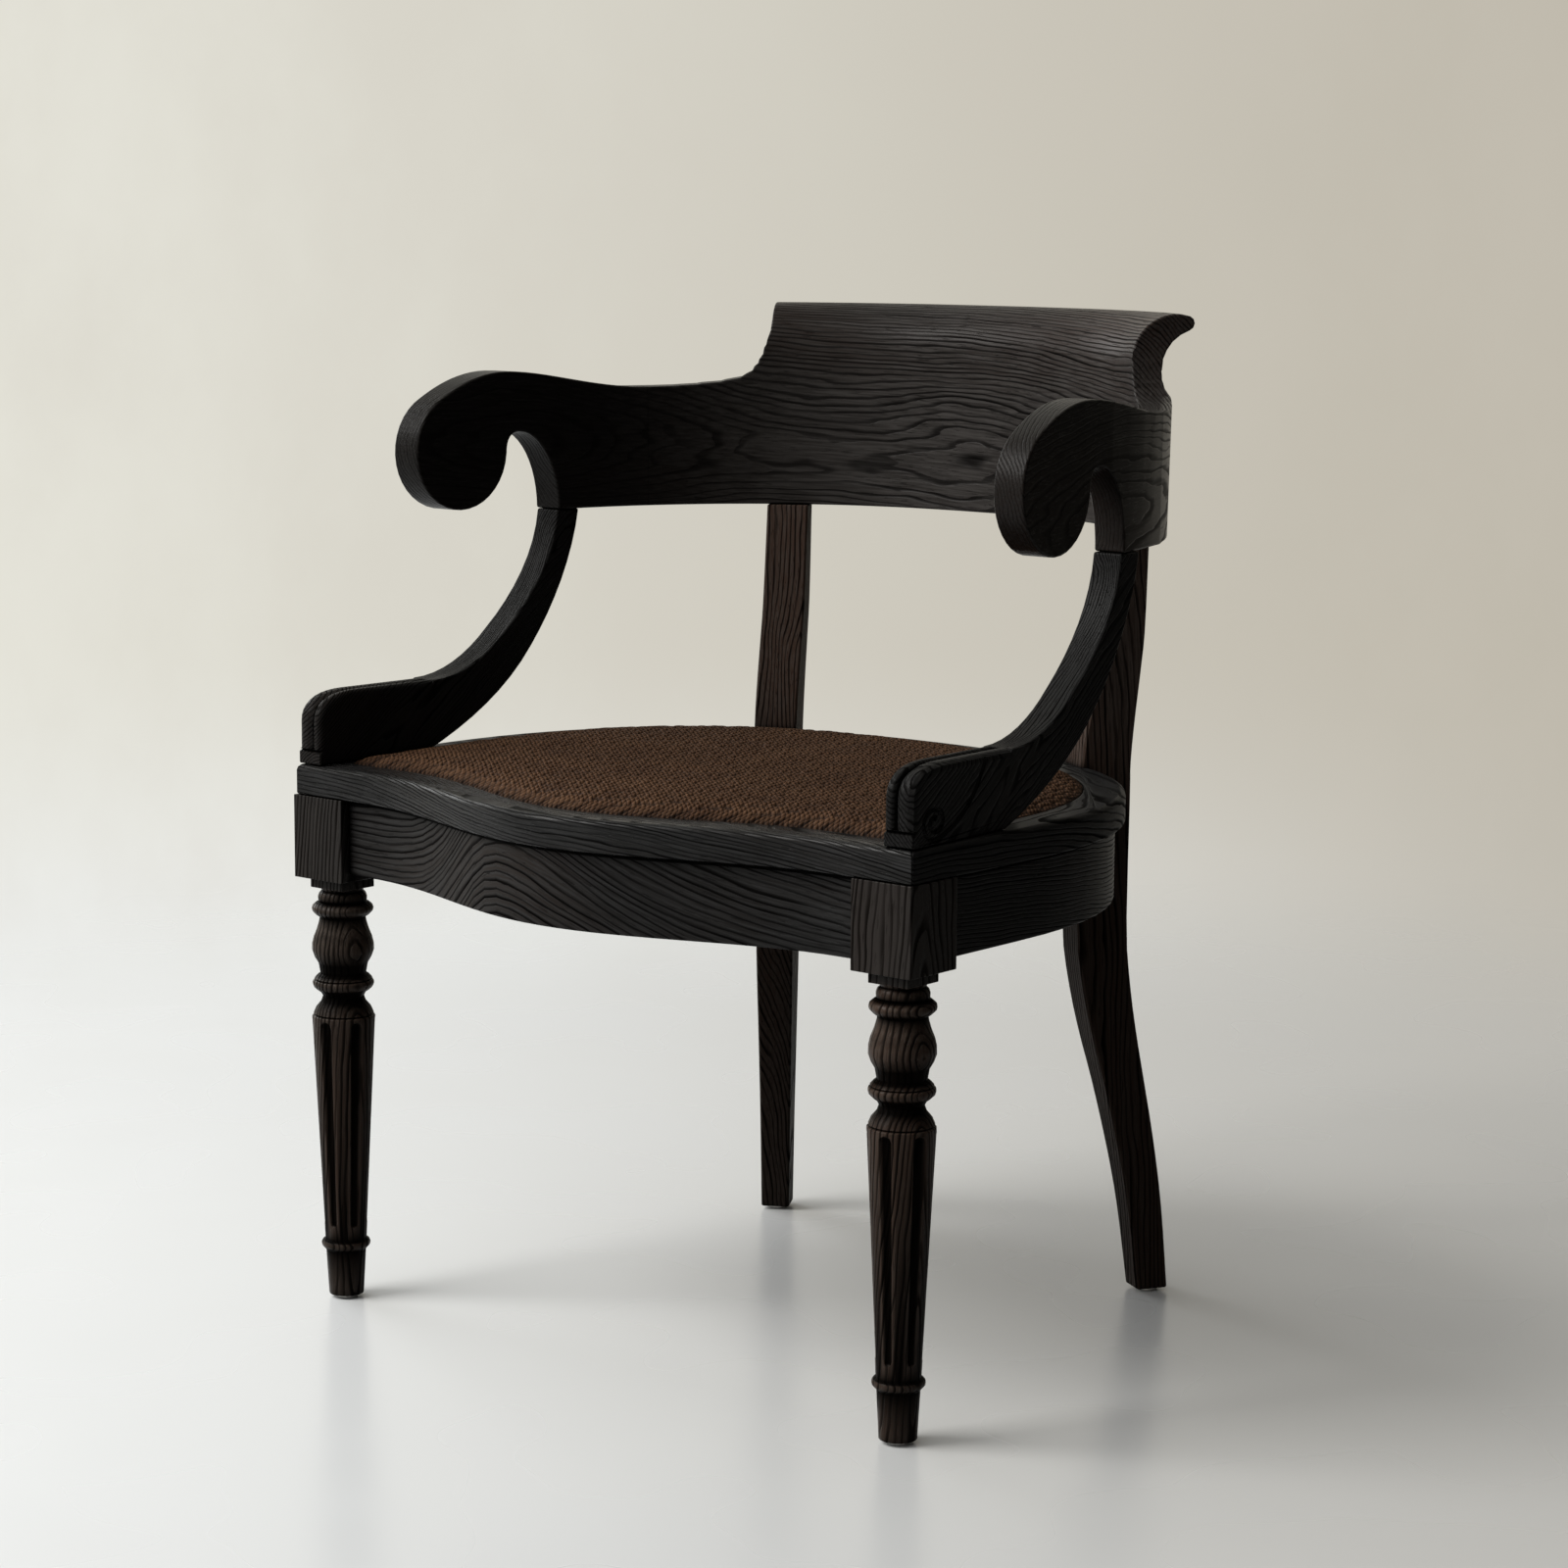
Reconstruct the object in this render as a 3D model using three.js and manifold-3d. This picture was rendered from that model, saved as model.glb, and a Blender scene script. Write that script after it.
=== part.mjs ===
// An armchair of the klismos type: turned and fluted front legs, sawn sabre rear legs, a seat ring
// with a serpentine front, and a horseshoe yoke whose arms end in hooked scrolls and whose back
// rolls over into a crest. Millimetres, +Z up, the front faces -Y, left is -X.
import * as THREE from 'three';
import { mergeVertices } from 'three/addons/utils/BufferGeometryUtils.js';
import Module from 'manifold-3d';

const wasm = await Module();
wasm.setup();

// Driving dimensions. Heights are from the floor, and y is 0 on the axis of the front legs.
const seatHeight = 445;
const seatHalfWidth = 315;
const seatCentreY = 110;
const seatDepthBehindCentre = 317;
const seatArchPower = 2.4;
const seatFrontY = -25.5;
const frontBow = 56.3;
const frontBowShare = 0.78;

const frontLegInset = 26.4;
const legBlockSide = 54.4;
const legBlockDrop = 67.5;
const abacusSide = 36.5;
const abacusHeight = 9;
const legRadius = 25.4;
const fluteCount = 6;
const ridgeDegrees = -50;

const rimHeight = 25;
const rimWidth = 31.5;
const rimEdgeRadius = 5;
const apronInset = 7.5;
const apronThickness = 24;
const apronHeight = 61.3;

const rearLegPlaceShare = 0.5115;
const rearLegHeading = THREE.MathUtils.degToRad(31);
const rearLegSweep = 51.5;
const rearLegSweepHeading = THREE.MathUtils.degToRad(38);
const rearLegKick = 24;
const rearLegKickHeading = THREE.MathUtils.degToRad(20);
const rearLegDepth = 44.3;
const rearLegThickness = 34.5;
const rearLegChamfer = 1.6;

const yokeAboveSeat = 192;
const yokeInset = 30;
const yokeBehindSeatCentre = 70;
const yokeThickness = 27;
const yokeBackThickness = 32;
const yokeArchPower = 2.5;
const yokeOverhang = 45;
const yokeLean = 0.054;
const yokeSplay = 0.09;
const yokeJointBack = 150;
const shoulderRise = 102;

const crestRollRadius = 38;
const crestRollRise = 135;
const crestHollowRadius = 37;
const crestHollowOffset = 62;
const crestHollowRise = 124.6;
const crestTipRadius = 6;
const crestEndAngle = THREE.MathUtils.degToRad(33);
const shoulderEndAngle = THREE.MathUtils.degToRad(50);
const crestFanBack = 20;

const hookRadius = 49;
const hookCentreFront = 37.5;
const hookCentreRise = 53.5;
const armCrownBack = 10;
const armCrownRise = 64.5;
const armCutoutBack = 66.5;
const armCutoutRise = 67.5;

const supportThickness = 26;
const supportInset = 2.5;
const supportTurn = Math.atan(0.042);
const supportFrontInset = 2.3;
const supportFootLength = 118;
const supportTopWidth = 25;
const scrollFootHeight = 59;
const scrollTopLength = 124.2;
const scrollNoseLength = 43.2;
const plinthHeight = 10.5;
const plinthStep = 2.5;
const reedDepth = 6;
const voluteInset = 27;
const voluteRise = 17;
const voluteHalfWidth = 16;
const voluteHalfHeight = 13;
const veinRadius = 2.5;
const veinDepth = 2.2;

const panelCrown = 11;
const panelEdgeHeight = 1;
const boardThickness = 8;

const glideRadius = 9.5;
const glideHeight = 3;
const glidePinRadius = 1.5;
const glidePinLength = 12;

const dowelRadius = 4.5;
const dowelHalfLength = 20;
const boltRadius = 3;
const boltHeadRadius = 6.5;
const boltHeadHeight = 4;
const screwRadius = 2;
const screwHeadRadius = 4;
const screwHeadHeight = 2.5;
const driverRoom = 48;

const fit = 0.3;
const overrun = 12;

// Values that follow from the driving dimensions.
const rimBottom = seatHeight - rimHeight;
const apronBottom = rimBottom - apronHeight;
const legBlockBottom = rimBottom - legBlockDrop;
const abacusBottom = legBlockBottom - abacusHeight;
const legBlockHalf = legBlockSide / 2;
const frontLegX = seatHalfWidth - frontLegInset;
const frontBowHalfWidth = seatHalfWidth * frontBowShare;
const yokeBottom = seatHeight + yokeAboveSeat;
const yokeHalfWidth = seatHalfWidth - yokeInset;
const yokeOuterHalfWidth = yokeHalfWidth + yokeThickness;
const yokeCentreY = seatCentreY + yokeBehindSeatCentre;
const yokeDepth = seatCentreY + seatDepthBehindCentre + yokeOverhang - yokeCentreY;
const yokeJointY = yokeCentreY + yokeJointBack;
const shoulderHeight = yokeBottom + shoulderRise;
const crestRollHeight = yokeBottom + crestRollRise;
const crestHollowHeight = yokeBottom + crestHollowRise;
const crestFanY = seatCentreY + crestFanBack;
const hookCentreY = yokeCentreY - hookCentreFront;
const hookCentreZ = yokeBottom + hookCentreRise;
const armTopHeight = hookCentreZ + armCrownRise;
const armCrownY = yokeCentreY + armCrownBack;
const armCutoutBackY = yokeCentreY + armCutoutBack;
const armCutoutTop = yokeBottom + armCutoutRise;
const supportOuterX = seatHalfWidth - supportInset;
const supportFrontY = seatFrontY + supportFrontInset;
const mirrorSides = { left: -1, right: 1 };

// Materials: a black-brown stain on open-grained wood, dark brown cord and plain steel.
const finishes = {
  wood: { color: 0x1f1a17, roughness: 0.5, metalness: 0 },
  hiddenWood: { color: 0x4a3424, roughness: 0.7, metalness: 0 },
  cord: { color: 0x3d2317, roughness: 0.85, metalness: 0 },
  steel: { color: 0x9a9a9a, roughness: 0.35, metalness: 1 },
};

const chair = new THREE.Group();

function addPiece(name, geometry, finish, parent = chair) {
  const mesh = new THREE.Mesh(geometry, new THREE.MeshStandardMaterial(finishes[finish]));
  mesh.name = name;
  parent.add(mesh);
  return mesh;
}

const weldDistance = 1e-4;

// Plain geometry with merged corners, no slivers of zero area, and its faces pointing out.
function cleaned(geometry) {
  const bare = geometry.clone();
  bare.deleteAttribute('normal');
  bare.deleteAttribute('uv');
  const merged = mergeVertices(bare, weldDistance);
  const corners = merged.index.array;
  const kept = [];
  for (let i = 0; i < corners.length; i += 3) {
    const [a, b, c] = corners.slice(i, i + 3);
    if (a !== b && b !== c && c !== a) kept.push(a, b, c);
  }
  if (signedVolume(merged.attributes.position, kept) < 0) kept.reverse();
  merged.setIndex(kept);
  return merged;
}

function signedVolume(position, corners) {
  const a = new THREE.Vector3();
  const b = new THREE.Vector3();
  const c = new THREE.Vector3();
  let volume = 0;
  for (let i = 0; i < corners.length; i += 3) {
    a.fromBufferAttribute(position, corners[i]);
    b.fromBufferAttribute(position, corners[i + 1]);
    c.fromBufferAttribute(position, corners[i + 2]);
    volume += a.dot(b.cross(c));
  }
  return volume;
}

function toSolid(geometry) {
  const body = cleaned(geometry);
  return new wasm.Manifold(new wasm.Mesh({
    numProp: 3,
    vertProperties: new Float32Array(body.attributes.position.array),
    triVerts: new Uint32Array(body.index.array),
  }));
}

function toGeometry(solid) {
  const mesh = solid.getMesh();
  const geometry = new THREE.BufferGeometry();
  geometry.setAttribute('position', new THREE.Float32BufferAttribute(mesh.vertProperties, 3));
  geometry.setIndex(Array.from(mesh.triVerts));
  return geometry;
}

function cut(geometry, cutters) {
  return toGeometry(cutters.reduce((body, cutter) => body.subtract(toSolid(cutter)), toSolid(geometry)));
}

function joined(geometries) {
  return toGeometry(geometries.map(toSolid).reduce((body, next) => body.add(next)));
}

function common(geometry, other) {
  return toGeometry(toSolid(geometry).intersect(toSolid(other)));
}

function mirrored(geometry) {
  return cleaned(geometry.clone().scale(-1, 1, 1));
}

function sided(geometry, side) {
  return side < 0 ? mirrored(geometry) : cleaned(geometry);
}

// A solid through rings of the same number of points, closed by a flat cap at each end.
function loft(rings, contour) {
  const count = contour.length;
  const positions = rings.flat().flatMap((p) => [p.x, p.y, p.z]);
  const faces = [];
  for (let r = 0; r + 1 < rings.length; r += 1) {
    for (let i = 0; i < count; i += 1) {
      const a = r * count + i;
      const b = r * count + ((i + 1) % count);
      faces.push(a, b, a + count, b, b + count, a + count);
    }
  }
  const clockwise = THREE.ShapeUtils.isClockWise(contour);
  const lastRing = (rings.length - 1) * count;
  for (const [a, b, c] of THREE.ShapeUtils.triangulateShape(contour, [])) {
    faces.push(...(clockwise ? [a, b, c] : [a, c, b]));
    faces.push(...(clockwise ? [c, b, a] : [b, c, a]).map((k) => k + lastRing));
  }
  const geometry = new THREE.BufferGeometry();
  geometry.setAttribute('position', new THREE.Float32BufferAttribute(positions, 3));
  geometry.setIndex(faces);
  return cleaned(geometry);
}

// An outline drawn in plan and raised, and one drawn from the side (y, z) and run along x.
function raised(shape, bottom, top, curveSegments = 10) {
  const options = { depth: top - bottom, bevelEnabled: false, curveSegments };
  return new THREE.ExtrudeGeometry(shape, options).translate(0, 0, bottom);
}

function sawn(shape, fromX, toX, curveSegments = 10) {
  const options = { depth: toX - fromX, bevelEnabled: false, curveSegments };
  const geometry = new THREE.ExtrudeGeometry(shape, options);
  const turn = new THREE.Matrix4().makeBasis(
    new THREE.Vector3(0, 1, 0),
    new THREE.Vector3(0, 0, 1),
    new THREE.Vector3(1, 0, 0),
  );
  return geometry.applyMatrix4(turn).translate(fromX, 0, 0);
}

// Continues an outline to a point, with two handles placed by shares of the way there.
function curveTo(shape, end, handleShares) {
  const start = shape.currentPoint.clone();
  const handles = handleShares.flatMap(([across, up]) => [
    THREE.MathUtils.lerp(start.x, end.x, across), THREE.MathUtils.lerp(start.y, end.y, up),
  ]);
  shape.bezierCurveTo(...handles, end.x, end.y);
}

function block(low, high) {
  const size = new THREE.Vector3().subVectors(high, low);
  const middle = new THREE.Vector3().addVectors(low, high).multiplyScalar(0.5);
  return new THREE.BoxGeometry(size.x, size.y, size.z).translate(middle.x, middle.y, middle.z);
}

function upright(radius, bottom, top, segments = 16) {
  const height = top - bottom;
  return new THREE.CylinderGeometry(radius, radius, height, segments)
    .rotateX(Math.PI / 2)
    .translate(0, 0, bottom + height / 2);
}

function turnedPin(points, segments = 16) {
  const profile = points.map(([radius, height]) => new THREE.Vector2(radius, height));
  return new THREE.LatheGeometry(profile, segments).rotateX(Math.PI / 2);
}

// Plan of the seat: the serpentine front, straight sides and a rounded back, at any inset.
function frontEdgeY(x) {
  const share = Math.min(Math.abs(x) / frontBowHalfWidth, 1);
  return seatFrontY - frontBow * Math.cos((share * Math.PI) / 2) ** 2;
}

function frontPoint(share, inset) {
  const x = share * (seatHalfWidth - inset);
  return new THREE.Vector2(x, frontEdgeY(share * seatHalfWidth) + inset);
}

function archPoint(angle, halfWidth, depth, power) {
  const across = Math.cos(angle);
  const back = Math.max(Math.sin(angle), 0);
  const x = halfWidth * Math.sign(across) * Math.abs(across) ** (2 / power);
  return new THREE.Vector2(x, depth * back ** (2 / power));
}

function seatArchPoint(angle, inset) {
  const point = archPoint(angle, seatHalfWidth - inset, seatDepthBehindCentre - inset, seatArchPower);
  return point.add(new THREE.Vector2(0, seatCentreY));
}

function seatArchAngle(x) {
  return Math.acos((x / seatHalfWidth) ** (seatArchPower / 2));
}

function spread(from, to, steps) {
  return Array.from({ length: steps + 1 }, (_, i) => from + ((to - from) * i) / steps);
}

// A bar of the seat ring: a section of (inset, height) carried along stations of the plan.
function ringBar(stations, section) {
  const rings = stations.map((place) => section.map(({ x: inset, y: height }) => {
    const point = place(inset);
    return new THREE.Vector3(point.x, point.y, height);
  }));
  return loft(rings, section);
}

const frontSteps = 36;
const frontStations = spread(-1, 1, frontSteps).map((share) => (inset) => frontPoint(share, inset));

function sideStations(startY, endAngle) {
  const straight = (inset) => new THREE.Vector2(seatHalfWidth - inset, startY(inset));
  const arch = spread(0, endAngle, 14).map((angle) => (inset) => seatArchPoint(angle, inset));
  return [straight, ...arch];
}

function backStations(startAngle) {
  return spread(startAngle, Math.PI - startAngle, 16)
    .map((angle) => (inset) => seatArchPoint(angle, inset));
}

const rimSection = [
  new THREE.Vector2(0, rimBottom),
  ...spread(Math.PI, Math.PI / 2, 3).map((angle) => new THREE.Vector2(
    rimEdgeRadius + rimEdgeRadius * Math.cos(angle),
    seatHeight - rimEdgeRadius + rimEdgeRadius * Math.sin(angle),
  )),
  new THREE.Vector2(rimWidth, seatHeight),
  new THREE.Vector2(rimWidth, rimBottom),
];

const apronSection = [
  new THREE.Vector2(apronInset, apronBottom),
  new THREE.Vector2(apronInset, rimBottom),
  new THREE.Vector2(apronInset + apronThickness, rimBottom),
  new THREE.Vector2(apronInset + apronThickness, apronBottom),
];

// The turned front leg, on its own axis. Shares are of the height below the abacus and of the
// largest radius, from the foot up: foot, ring, fluted shaft, cup, bead, vase, bead and neck.
const legProfileShares = [
  [0, 0.56], [0.11, 0.642], [0.115, 0.7], [0.121, 0.775], [0.127, 0.79], [0.133, 0.765],
  [0.138, 0.665], [0.672, 1.012], [0.6885, 1.01], [0.6915, 0.935], [0.6945, 0.965], [0.709, 0.882],
  [0.723, 0.72], [0.736, 0.657], [0.746, 0.73], [0.752, 0.85], [0.759, 0.95], [0.768, 0.99],
  [0.7745, 0.965], [0.7768, 0.9], [0.7795, 0.925], [0.787, 0.83], [0.792, 0.73], [0.797, 0.745],
  [0.816, 0.79], [0.831, 0.91], [0.848, 0.99], [0.864, 0.985], [0.881, 0.93], [0.9, 0.83],
  [0.916, 0.765], [0.9285, 0.73], [0.9345, 0.85], [0.943, 0.965], [0.95, 0.99], [0.957, 0.955],
  [0.9635, 0.85], [0.9665, 0.73], [0.9695, 0.775], [0.978, 0.785], [0.987, 0.745], [0.993, 0.66],
  [1, 0.695],
];
const fluteTopShare = 0.684;
const fluteBottomShare = 0.17;
const fluteTopRadius = 6.2;
const fluteBottomRadius = 4.2;
const fluteTopDepth = 3.6;
const fluteBottomDepth = 2.5;
// A ridge between two flutes faces the same way on both legs.
const ridgeHeading = THREE.MathUtils.degToRad(ridgeDegrees);
const tenonThickness = 8;
const tenonLength = 20;
const tenonMargin = 9;

function legRadiusAt(share) {
  const above = legProfileShares.findIndex(([height]) => height >= share);
  const [h1, r1] = legProfileShares[above];
  const [h0, r0] = legProfileShares[Math.max(above - 1, 0)];
  const along = h1 > h0 ? (share - h0) / (h1 - h0) : 0;
  return legRadius * THREE.MathUtils.lerp(r0, r1, along);
}

function turnedLeg() {
  const height = abacusBottom - glideHeight;
  const points = legProfileShares.map(([h, r]) => [legRadius * r, glideHeight + height * h]);
  return turnedPin([[0, glideHeight], ...points, [0, abacusBottom]], 24);
}

// One flute cutter: a tapered rod with round ends, leaning with the taper of the shaft.
function fluteCutter(turn) {
  const height = abacusBottom - glideHeight;
  const low = new THREE.Vector3(
    legRadiusAt(fluteBottomShare) - fluteBottomDepth + fluteBottomRadius, 0,
    glideHeight + height * fluteBottomShare,
  );
  const high = new THREE.Vector3(
    legRadiusAt(fluteTopShare) - fluteTopDepth + fluteTopRadius, 0,
    glideHeight + height * fluteTopShare,
  );
  const length = high.distanceTo(low);
  const lowEnd = spread(-Math.PI / 2, 0, 3).map((a) => [
    fluteBottomRadius * Math.cos(a), fluteBottomRadius * (1 + Math.sin(a))]);
  const highEnd = spread(0, Math.PI / 2, 3).map((a) => [
    fluteTopRadius * Math.cos(a), length - fluteTopRadius * (1 - Math.sin(a))]);
  const lean = Math.atan2(high.x - low.x, high.z - low.z);
  return turnedPin([...lowEnd, ...highEnd], 12)
    .rotateY(lean)
    .translate(low.x, low.y, low.z)
    .rotateZ(turn);
}

// Mortises in the leg block, for the tenons of the front and side aprons of the right leg.
const frontTenonY = frontEdgeY(frontLegX - legBlockHalf) + apronInset + apronThickness / 2;
const sideTenonX = seatHalfWidth - apronInset - apronThickness / 2;
const tenonBottom = apronBottom + tenonMargin;
const tenonTop = rimBottom - tenonMargin;

function frontTenon(play) {
  const insideX = frontLegX - legBlockHalf - overrun;
  const half = tenonThickness / 2 + play;
  return block(
    new THREE.Vector3(insideX, frontTenonY - half, tenonBottom - play),
    new THREE.Vector3(insideX + overrun + tenonLength + play, frontTenonY + half, tenonTop + play),
  );
}

function sideTenon(play) {
  const insideY = legBlockHalf + overrun;
  const half = tenonThickness / 2 + play;
  return block(
    new THREE.Vector3(sideTenonX - half, insideY - overrun - tenonLength - play, tenonBottom - play),
    new THREE.Vector3(sideTenonX + half, insideY, tenonTop + play),
  );
}

function frontLeg(side) {
  const abacusHalf = abacusSide / 2;
  const abacus = block(
    new THREE.Vector3(-abacusHalf, -abacusHalf, abacusBottom),
    new THREE.Vector3(abacusHalf, abacusHalf, legBlockBottom),
  );
  const square = block(
    new THREE.Vector3(-legBlockHalf, -legBlockHalf, legBlockBottom),
    new THREE.Vector3(legBlockHalf, legBlockHalf, rimBottom),
  );
  const heading = side < 0 ? Math.PI - ridgeHeading : ridgeHeading;
  const flutes = spread(0.5, fluteCount - 0.5, fluteCount - 1)
    .map((turns) => fluteCutter(heading + (turns * 2 * Math.PI) / fluteCount));
  const mortises = [frontTenon(fit), sideTenon(fit)].map((tenon) => tenon.translate(-frontLegX, 0, 0));
  const pinTop = glideHeight + glidePinLength + fit;
  const pinHole = upright(glidePinRadius + fit, glideHeight - overrun, pinTop, 8);
  return cut(joined([turnedLeg(), abacus, square]), [...flutes, ...mortises, pinHole]);
}

function glide() {
  const bevel = glideHeight / 3;
  return turnedPin([
    [0, 0], [glideRadius - bevel, 0], [glideRadius, bevel], [glideRadius, glideHeight],
    [glidePinRadius, glideHeight], [glidePinRadius, glideHeight + glidePinLength - bevel],
    [0, glideHeight + glidePinLength],
  ]);
}

// The rear leg and stile: one plank sawn to a sabre sweep, standing in a plane turned outward.
// Shares are of the leg's height, of its sweep below the seat, of its kick above, of its depth
// and of its thickness.
const rearLegHeightShares = [
  0, 0.095, 0.157, 0.22, 0.283, 0.345, 0.41, 0.487, 0.66, 0.7, 0.755, 0.83, 0.88, 1,
];
const rearLegSweepShares = [1, 0.867, 0.75, 0.6, 0.43, 0.25, 0.1, 0, 0, 0, 0, 0, 0, 0];
const rearLegKickShares = [0, 0, 0, 0, 0, 0, 0, 0, 0, 0, 0.18, 0.54, 0.74, 1];
const rearLegDepthShares = [
  0.61, 0.67, 0.715, 0.765, 0.82, 0.895, 0.96, 1, 1, 0.99, 0.94, 0.83, 0.75, 0.59,
];
const rearLegThicknessShares = [
  0.72, 0.76, 0.79, 0.83, 0.87, 0.91, 0.94, 0.97, 1.04, 1.06, 1.06, 1.05, 1.05, 1.03,
];

function shareCurve(shares) {
  const knots = rearLegHeightShares.map((height, i) => new THREE.Vector2(height, shares[i]));
  return new THREE.SplineCurve(knots);
}

const rearLegCurves = {
  height: shareCurve(rearLegHeightShares),
  sweep: shareCurve(rearLegSweepShares),
  kick: shareCurve(rearLegKickShares),
  depth: shareCurve(rearLegDepthShares),
  thickness: shareCurve(rearLegThicknessShares),
};

// A level direction, by its angle outward from straight back.
function headingVector(angle) {
  return new THREE.Vector2(Math.sin(angle), Math.cos(angle));
}

const rearLegOut = headingVector(rearLegHeading);
const rearLegPlace = seatArchPoint(Math.acos(rearLegPlaceShare ** (seatArchPower / 2)), apronInset)
  .addScaledVector(rearLegOut, rearLegDepth / 2 + fit);
const rearLegAcross = new THREE.Vector2(rearLegOut.y, -rearLegOut.x);

// A point of the right rear leg: along and across are counted from the middle of its section.
function rearLegSection(t, play) {
  const read = (name) => rearLegCurves[name].getPoint(t).y;
  const height = THREE.MathUtils.lerp(glideHeight, yokeBottom - fit, read('height'));
  const centre = rearLegPlace.clone()
    .addScaledVector(headingVector(rearLegSweepHeading), rearLegSweep * read('sweep'))
    .addScaledVector(headingVector(rearLegKickHeading), rearLegKick * read('kick'));
  const halfDepth = (rearLegDepth * read('depth')) / 2 + play;
  const halfThickness = (rearLegThickness * read('thickness')) / 2 + play;
  return { height, centre, halfDepth, halfThickness };
}

function rearLegRing(t, play) {
  const { height, centre, halfDepth, halfThickness } = rearLegSection(t, play);
  const c = rearLegChamfer;
  const corners = [
    [halfDepth - c, halfThickness], [halfDepth, halfThickness - c],
    [halfDepth, c - halfThickness], [halfDepth - c, -halfThickness],
    [c - halfDepth, -halfThickness], [-halfDepth, c - halfThickness],
    [-halfDepth, halfThickness - c], [c - halfDepth, halfThickness],
  ];
  return corners.map(([along, across]) => new THREE.Vector3(
    centre.x + rearLegOut.x * along + rearLegAcross.x * across,
    centre.y + rearLegOut.y * along + rearLegAcross.y * across,
    height,
  ));
}

function rearLegBody(play) {
  const rings = spread(0, 1, 33).map((t) => rearLegRing(t, play));
  const contour = rings[0].map((p) => new THREE.Vector2(p.x, p.y));
  return loft(rings, contour);
}

const rearFoot = rearLegSection(0, 0).centre;
const rearTop = rearLegSection(1, 0).centre;

function alongRearLeg(distance) {
  return rearLegPlace.clone().addScaledVector(rearLegOut, distance);
}

// The yoke: arms and back follow one plan, which leans back towards the rear and spreads forward.
function yokePlan(angle, z) {
  const depth = yokeDepth + yokeLean * (z - yokeBottom);
  const point = archPoint(angle, yokeHalfWidth, depth, yokeArchPower);
  point.x *= 1 - (yokeSplay * point.y) / yokeHalfWidth;
  return point.add(new THREE.Vector2(0, yokeCentreY));
}

function yokeNormal(angle) {
  const step = 0.01;
  const low = Math.max(angle - step, 0);
  const high = Math.min(angle + step, Math.PI);
  const along = yokePlan(high, yokeBottom).sub(yokePlan(low, yokeBottom)).normalize();
  return new THREE.Vector2(along.y, -along.x);
}

function yokePoint(angle, offset, z) {
  const point = yokePlan(angle, z).addScaledVector(yokeNormal(angle), offset);
  return new THREE.Vector3(point.x, point.y, z);
}

// Where two circles meet, on the left of the line from the first centre to the second.
function circlesMeet(c0, r0, c1, r1) {
  const across = new THREE.Vector2().subVectors(c1, c0);
  const distance = across.length();
  const along = (r0 * r0 - r1 * r1 + distance * distance) / (2 * distance);
  const side = Math.sqrt(r0 * r0 - along * along);
  across.normalize();
  return new THREE.Vector2(
    c0.x + across.x * along - across.y * side,
    c0.y + across.y * along + across.x * side,
  );
}

function arcPoints(centre, radius, from, to, steps) {
  return spread(from, to, steps).map((angle) => new THREE.Vector2(
    centre.x + radius * Math.cos(angle),
    centre.y + radius * Math.sin(angle),
  ));
}

// Section of the back in (offset, height): a flat inner face that rolls back over the crest to
// a round tip, the hollow under the roll, and the outer face.
function crestSection(thickness) {
  const roll = new THREE.Vector2(crestRollRadius, crestRollHeight);
  const hollow = new THREE.Vector2(crestHollowOffset, crestHollowHeight);
  const tip = circlesMeet(
    roll, crestRollRadius - crestTipRadius,
    hollow, crestHollowRadius + crestTipRadius,
  );
  const frontAngle = Math.atan2(tip.y - roll.y, tip.x - roll.x);
  const backAngle = Math.atan2(tip.y - hollow.y, tip.x - hollow.x);
  const hollowEnd = 2 * Math.PI - Math.acos((thickness - crestHollowOffset) / crestHollowRadius);
  return [
    new THREE.Vector2(0, yokeBottom),
    ...arcPoints(roll, crestRollRadius, Math.PI, frontAngle, 9),
    ...arcPoints(tip, crestTipRadius, frontAngle, backAngle - Math.PI, 4).slice(1),
    ...arcPoints(hollow, crestHollowRadius, backAngle, hollowEnd, 8).slice(1),
    new THREE.Vector2(thickness, yokeBottom),
  ];
}

// The wall thickens between the arm and the end of the crest.
const thickenFrom = 0.6;
const thickenTo = 0.95;

function wallThickness(angle) {
  const turn = Math.PI / 2 - Math.abs(angle - Math.PI / 2);
  const share = THREE.MathUtils.smoothstep(turn, thickenFrom, thickenTo);
  return THREE.MathUtils.lerp(yokeThickness, yokeBackThickness, share);
}

const crest = crestSection(yokeBackThickness);
const yokeMouthY = hookCentreY - hookRadius - overrun;

const backWallStart = 0.3;
const armWallEnd = 1.05;

function backWall() {
  const rings = spread(backWallStart, Math.PI - backWallStart, 46)
    .map((angle) => crestSection(wallThickness(angle)).map((p) => yokePoint(angle, p.x, p.y)));
  return loft(rings, crest);
}

// The right arm's wall: straight and spreading in front of the widest point, then the arch.
function armWall() {
  const low = yokeBottom - overrun;
  const high = armTopHeight + overrun;
  const section = [[0, low], [0, high], [yokeThickness, high], [yokeThickness, low]]
    .map(([offset, z]) => new THREE.Vector2(offset, z));
  const spreadX = (offset, y) => yokeHalfWidth + offset + yokeSplay * (yokeCentreY - y);
  const front = section.map((p) => new THREE.Vector3(spreadX(p.x, yokeMouthY), yokeMouthY, p.y));
  const rings = spread(0, armWallEnd, 13).map((angle) => section.map((p) => yokePoint(angle, p.x, p.y)));
  return loft([front, ...rings], section);
}

// The side outline of an arm: a round hooked scroll, the cut-out behind it and the top edge.
const hookStart = THREE.MathUtils.degToRad(-4);
const hookEnd = THREE.MathUtils.degToRad(125);
const cutoutLobe = 14;
const cutoutShares = [[0, 0.52], [0.42, 1]];
const armBrowShares = [0.5, 0.1];
const armCrownShare = 0.6;
const armFallShares = [[0.32, 0], [0.68, 1]];

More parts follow.
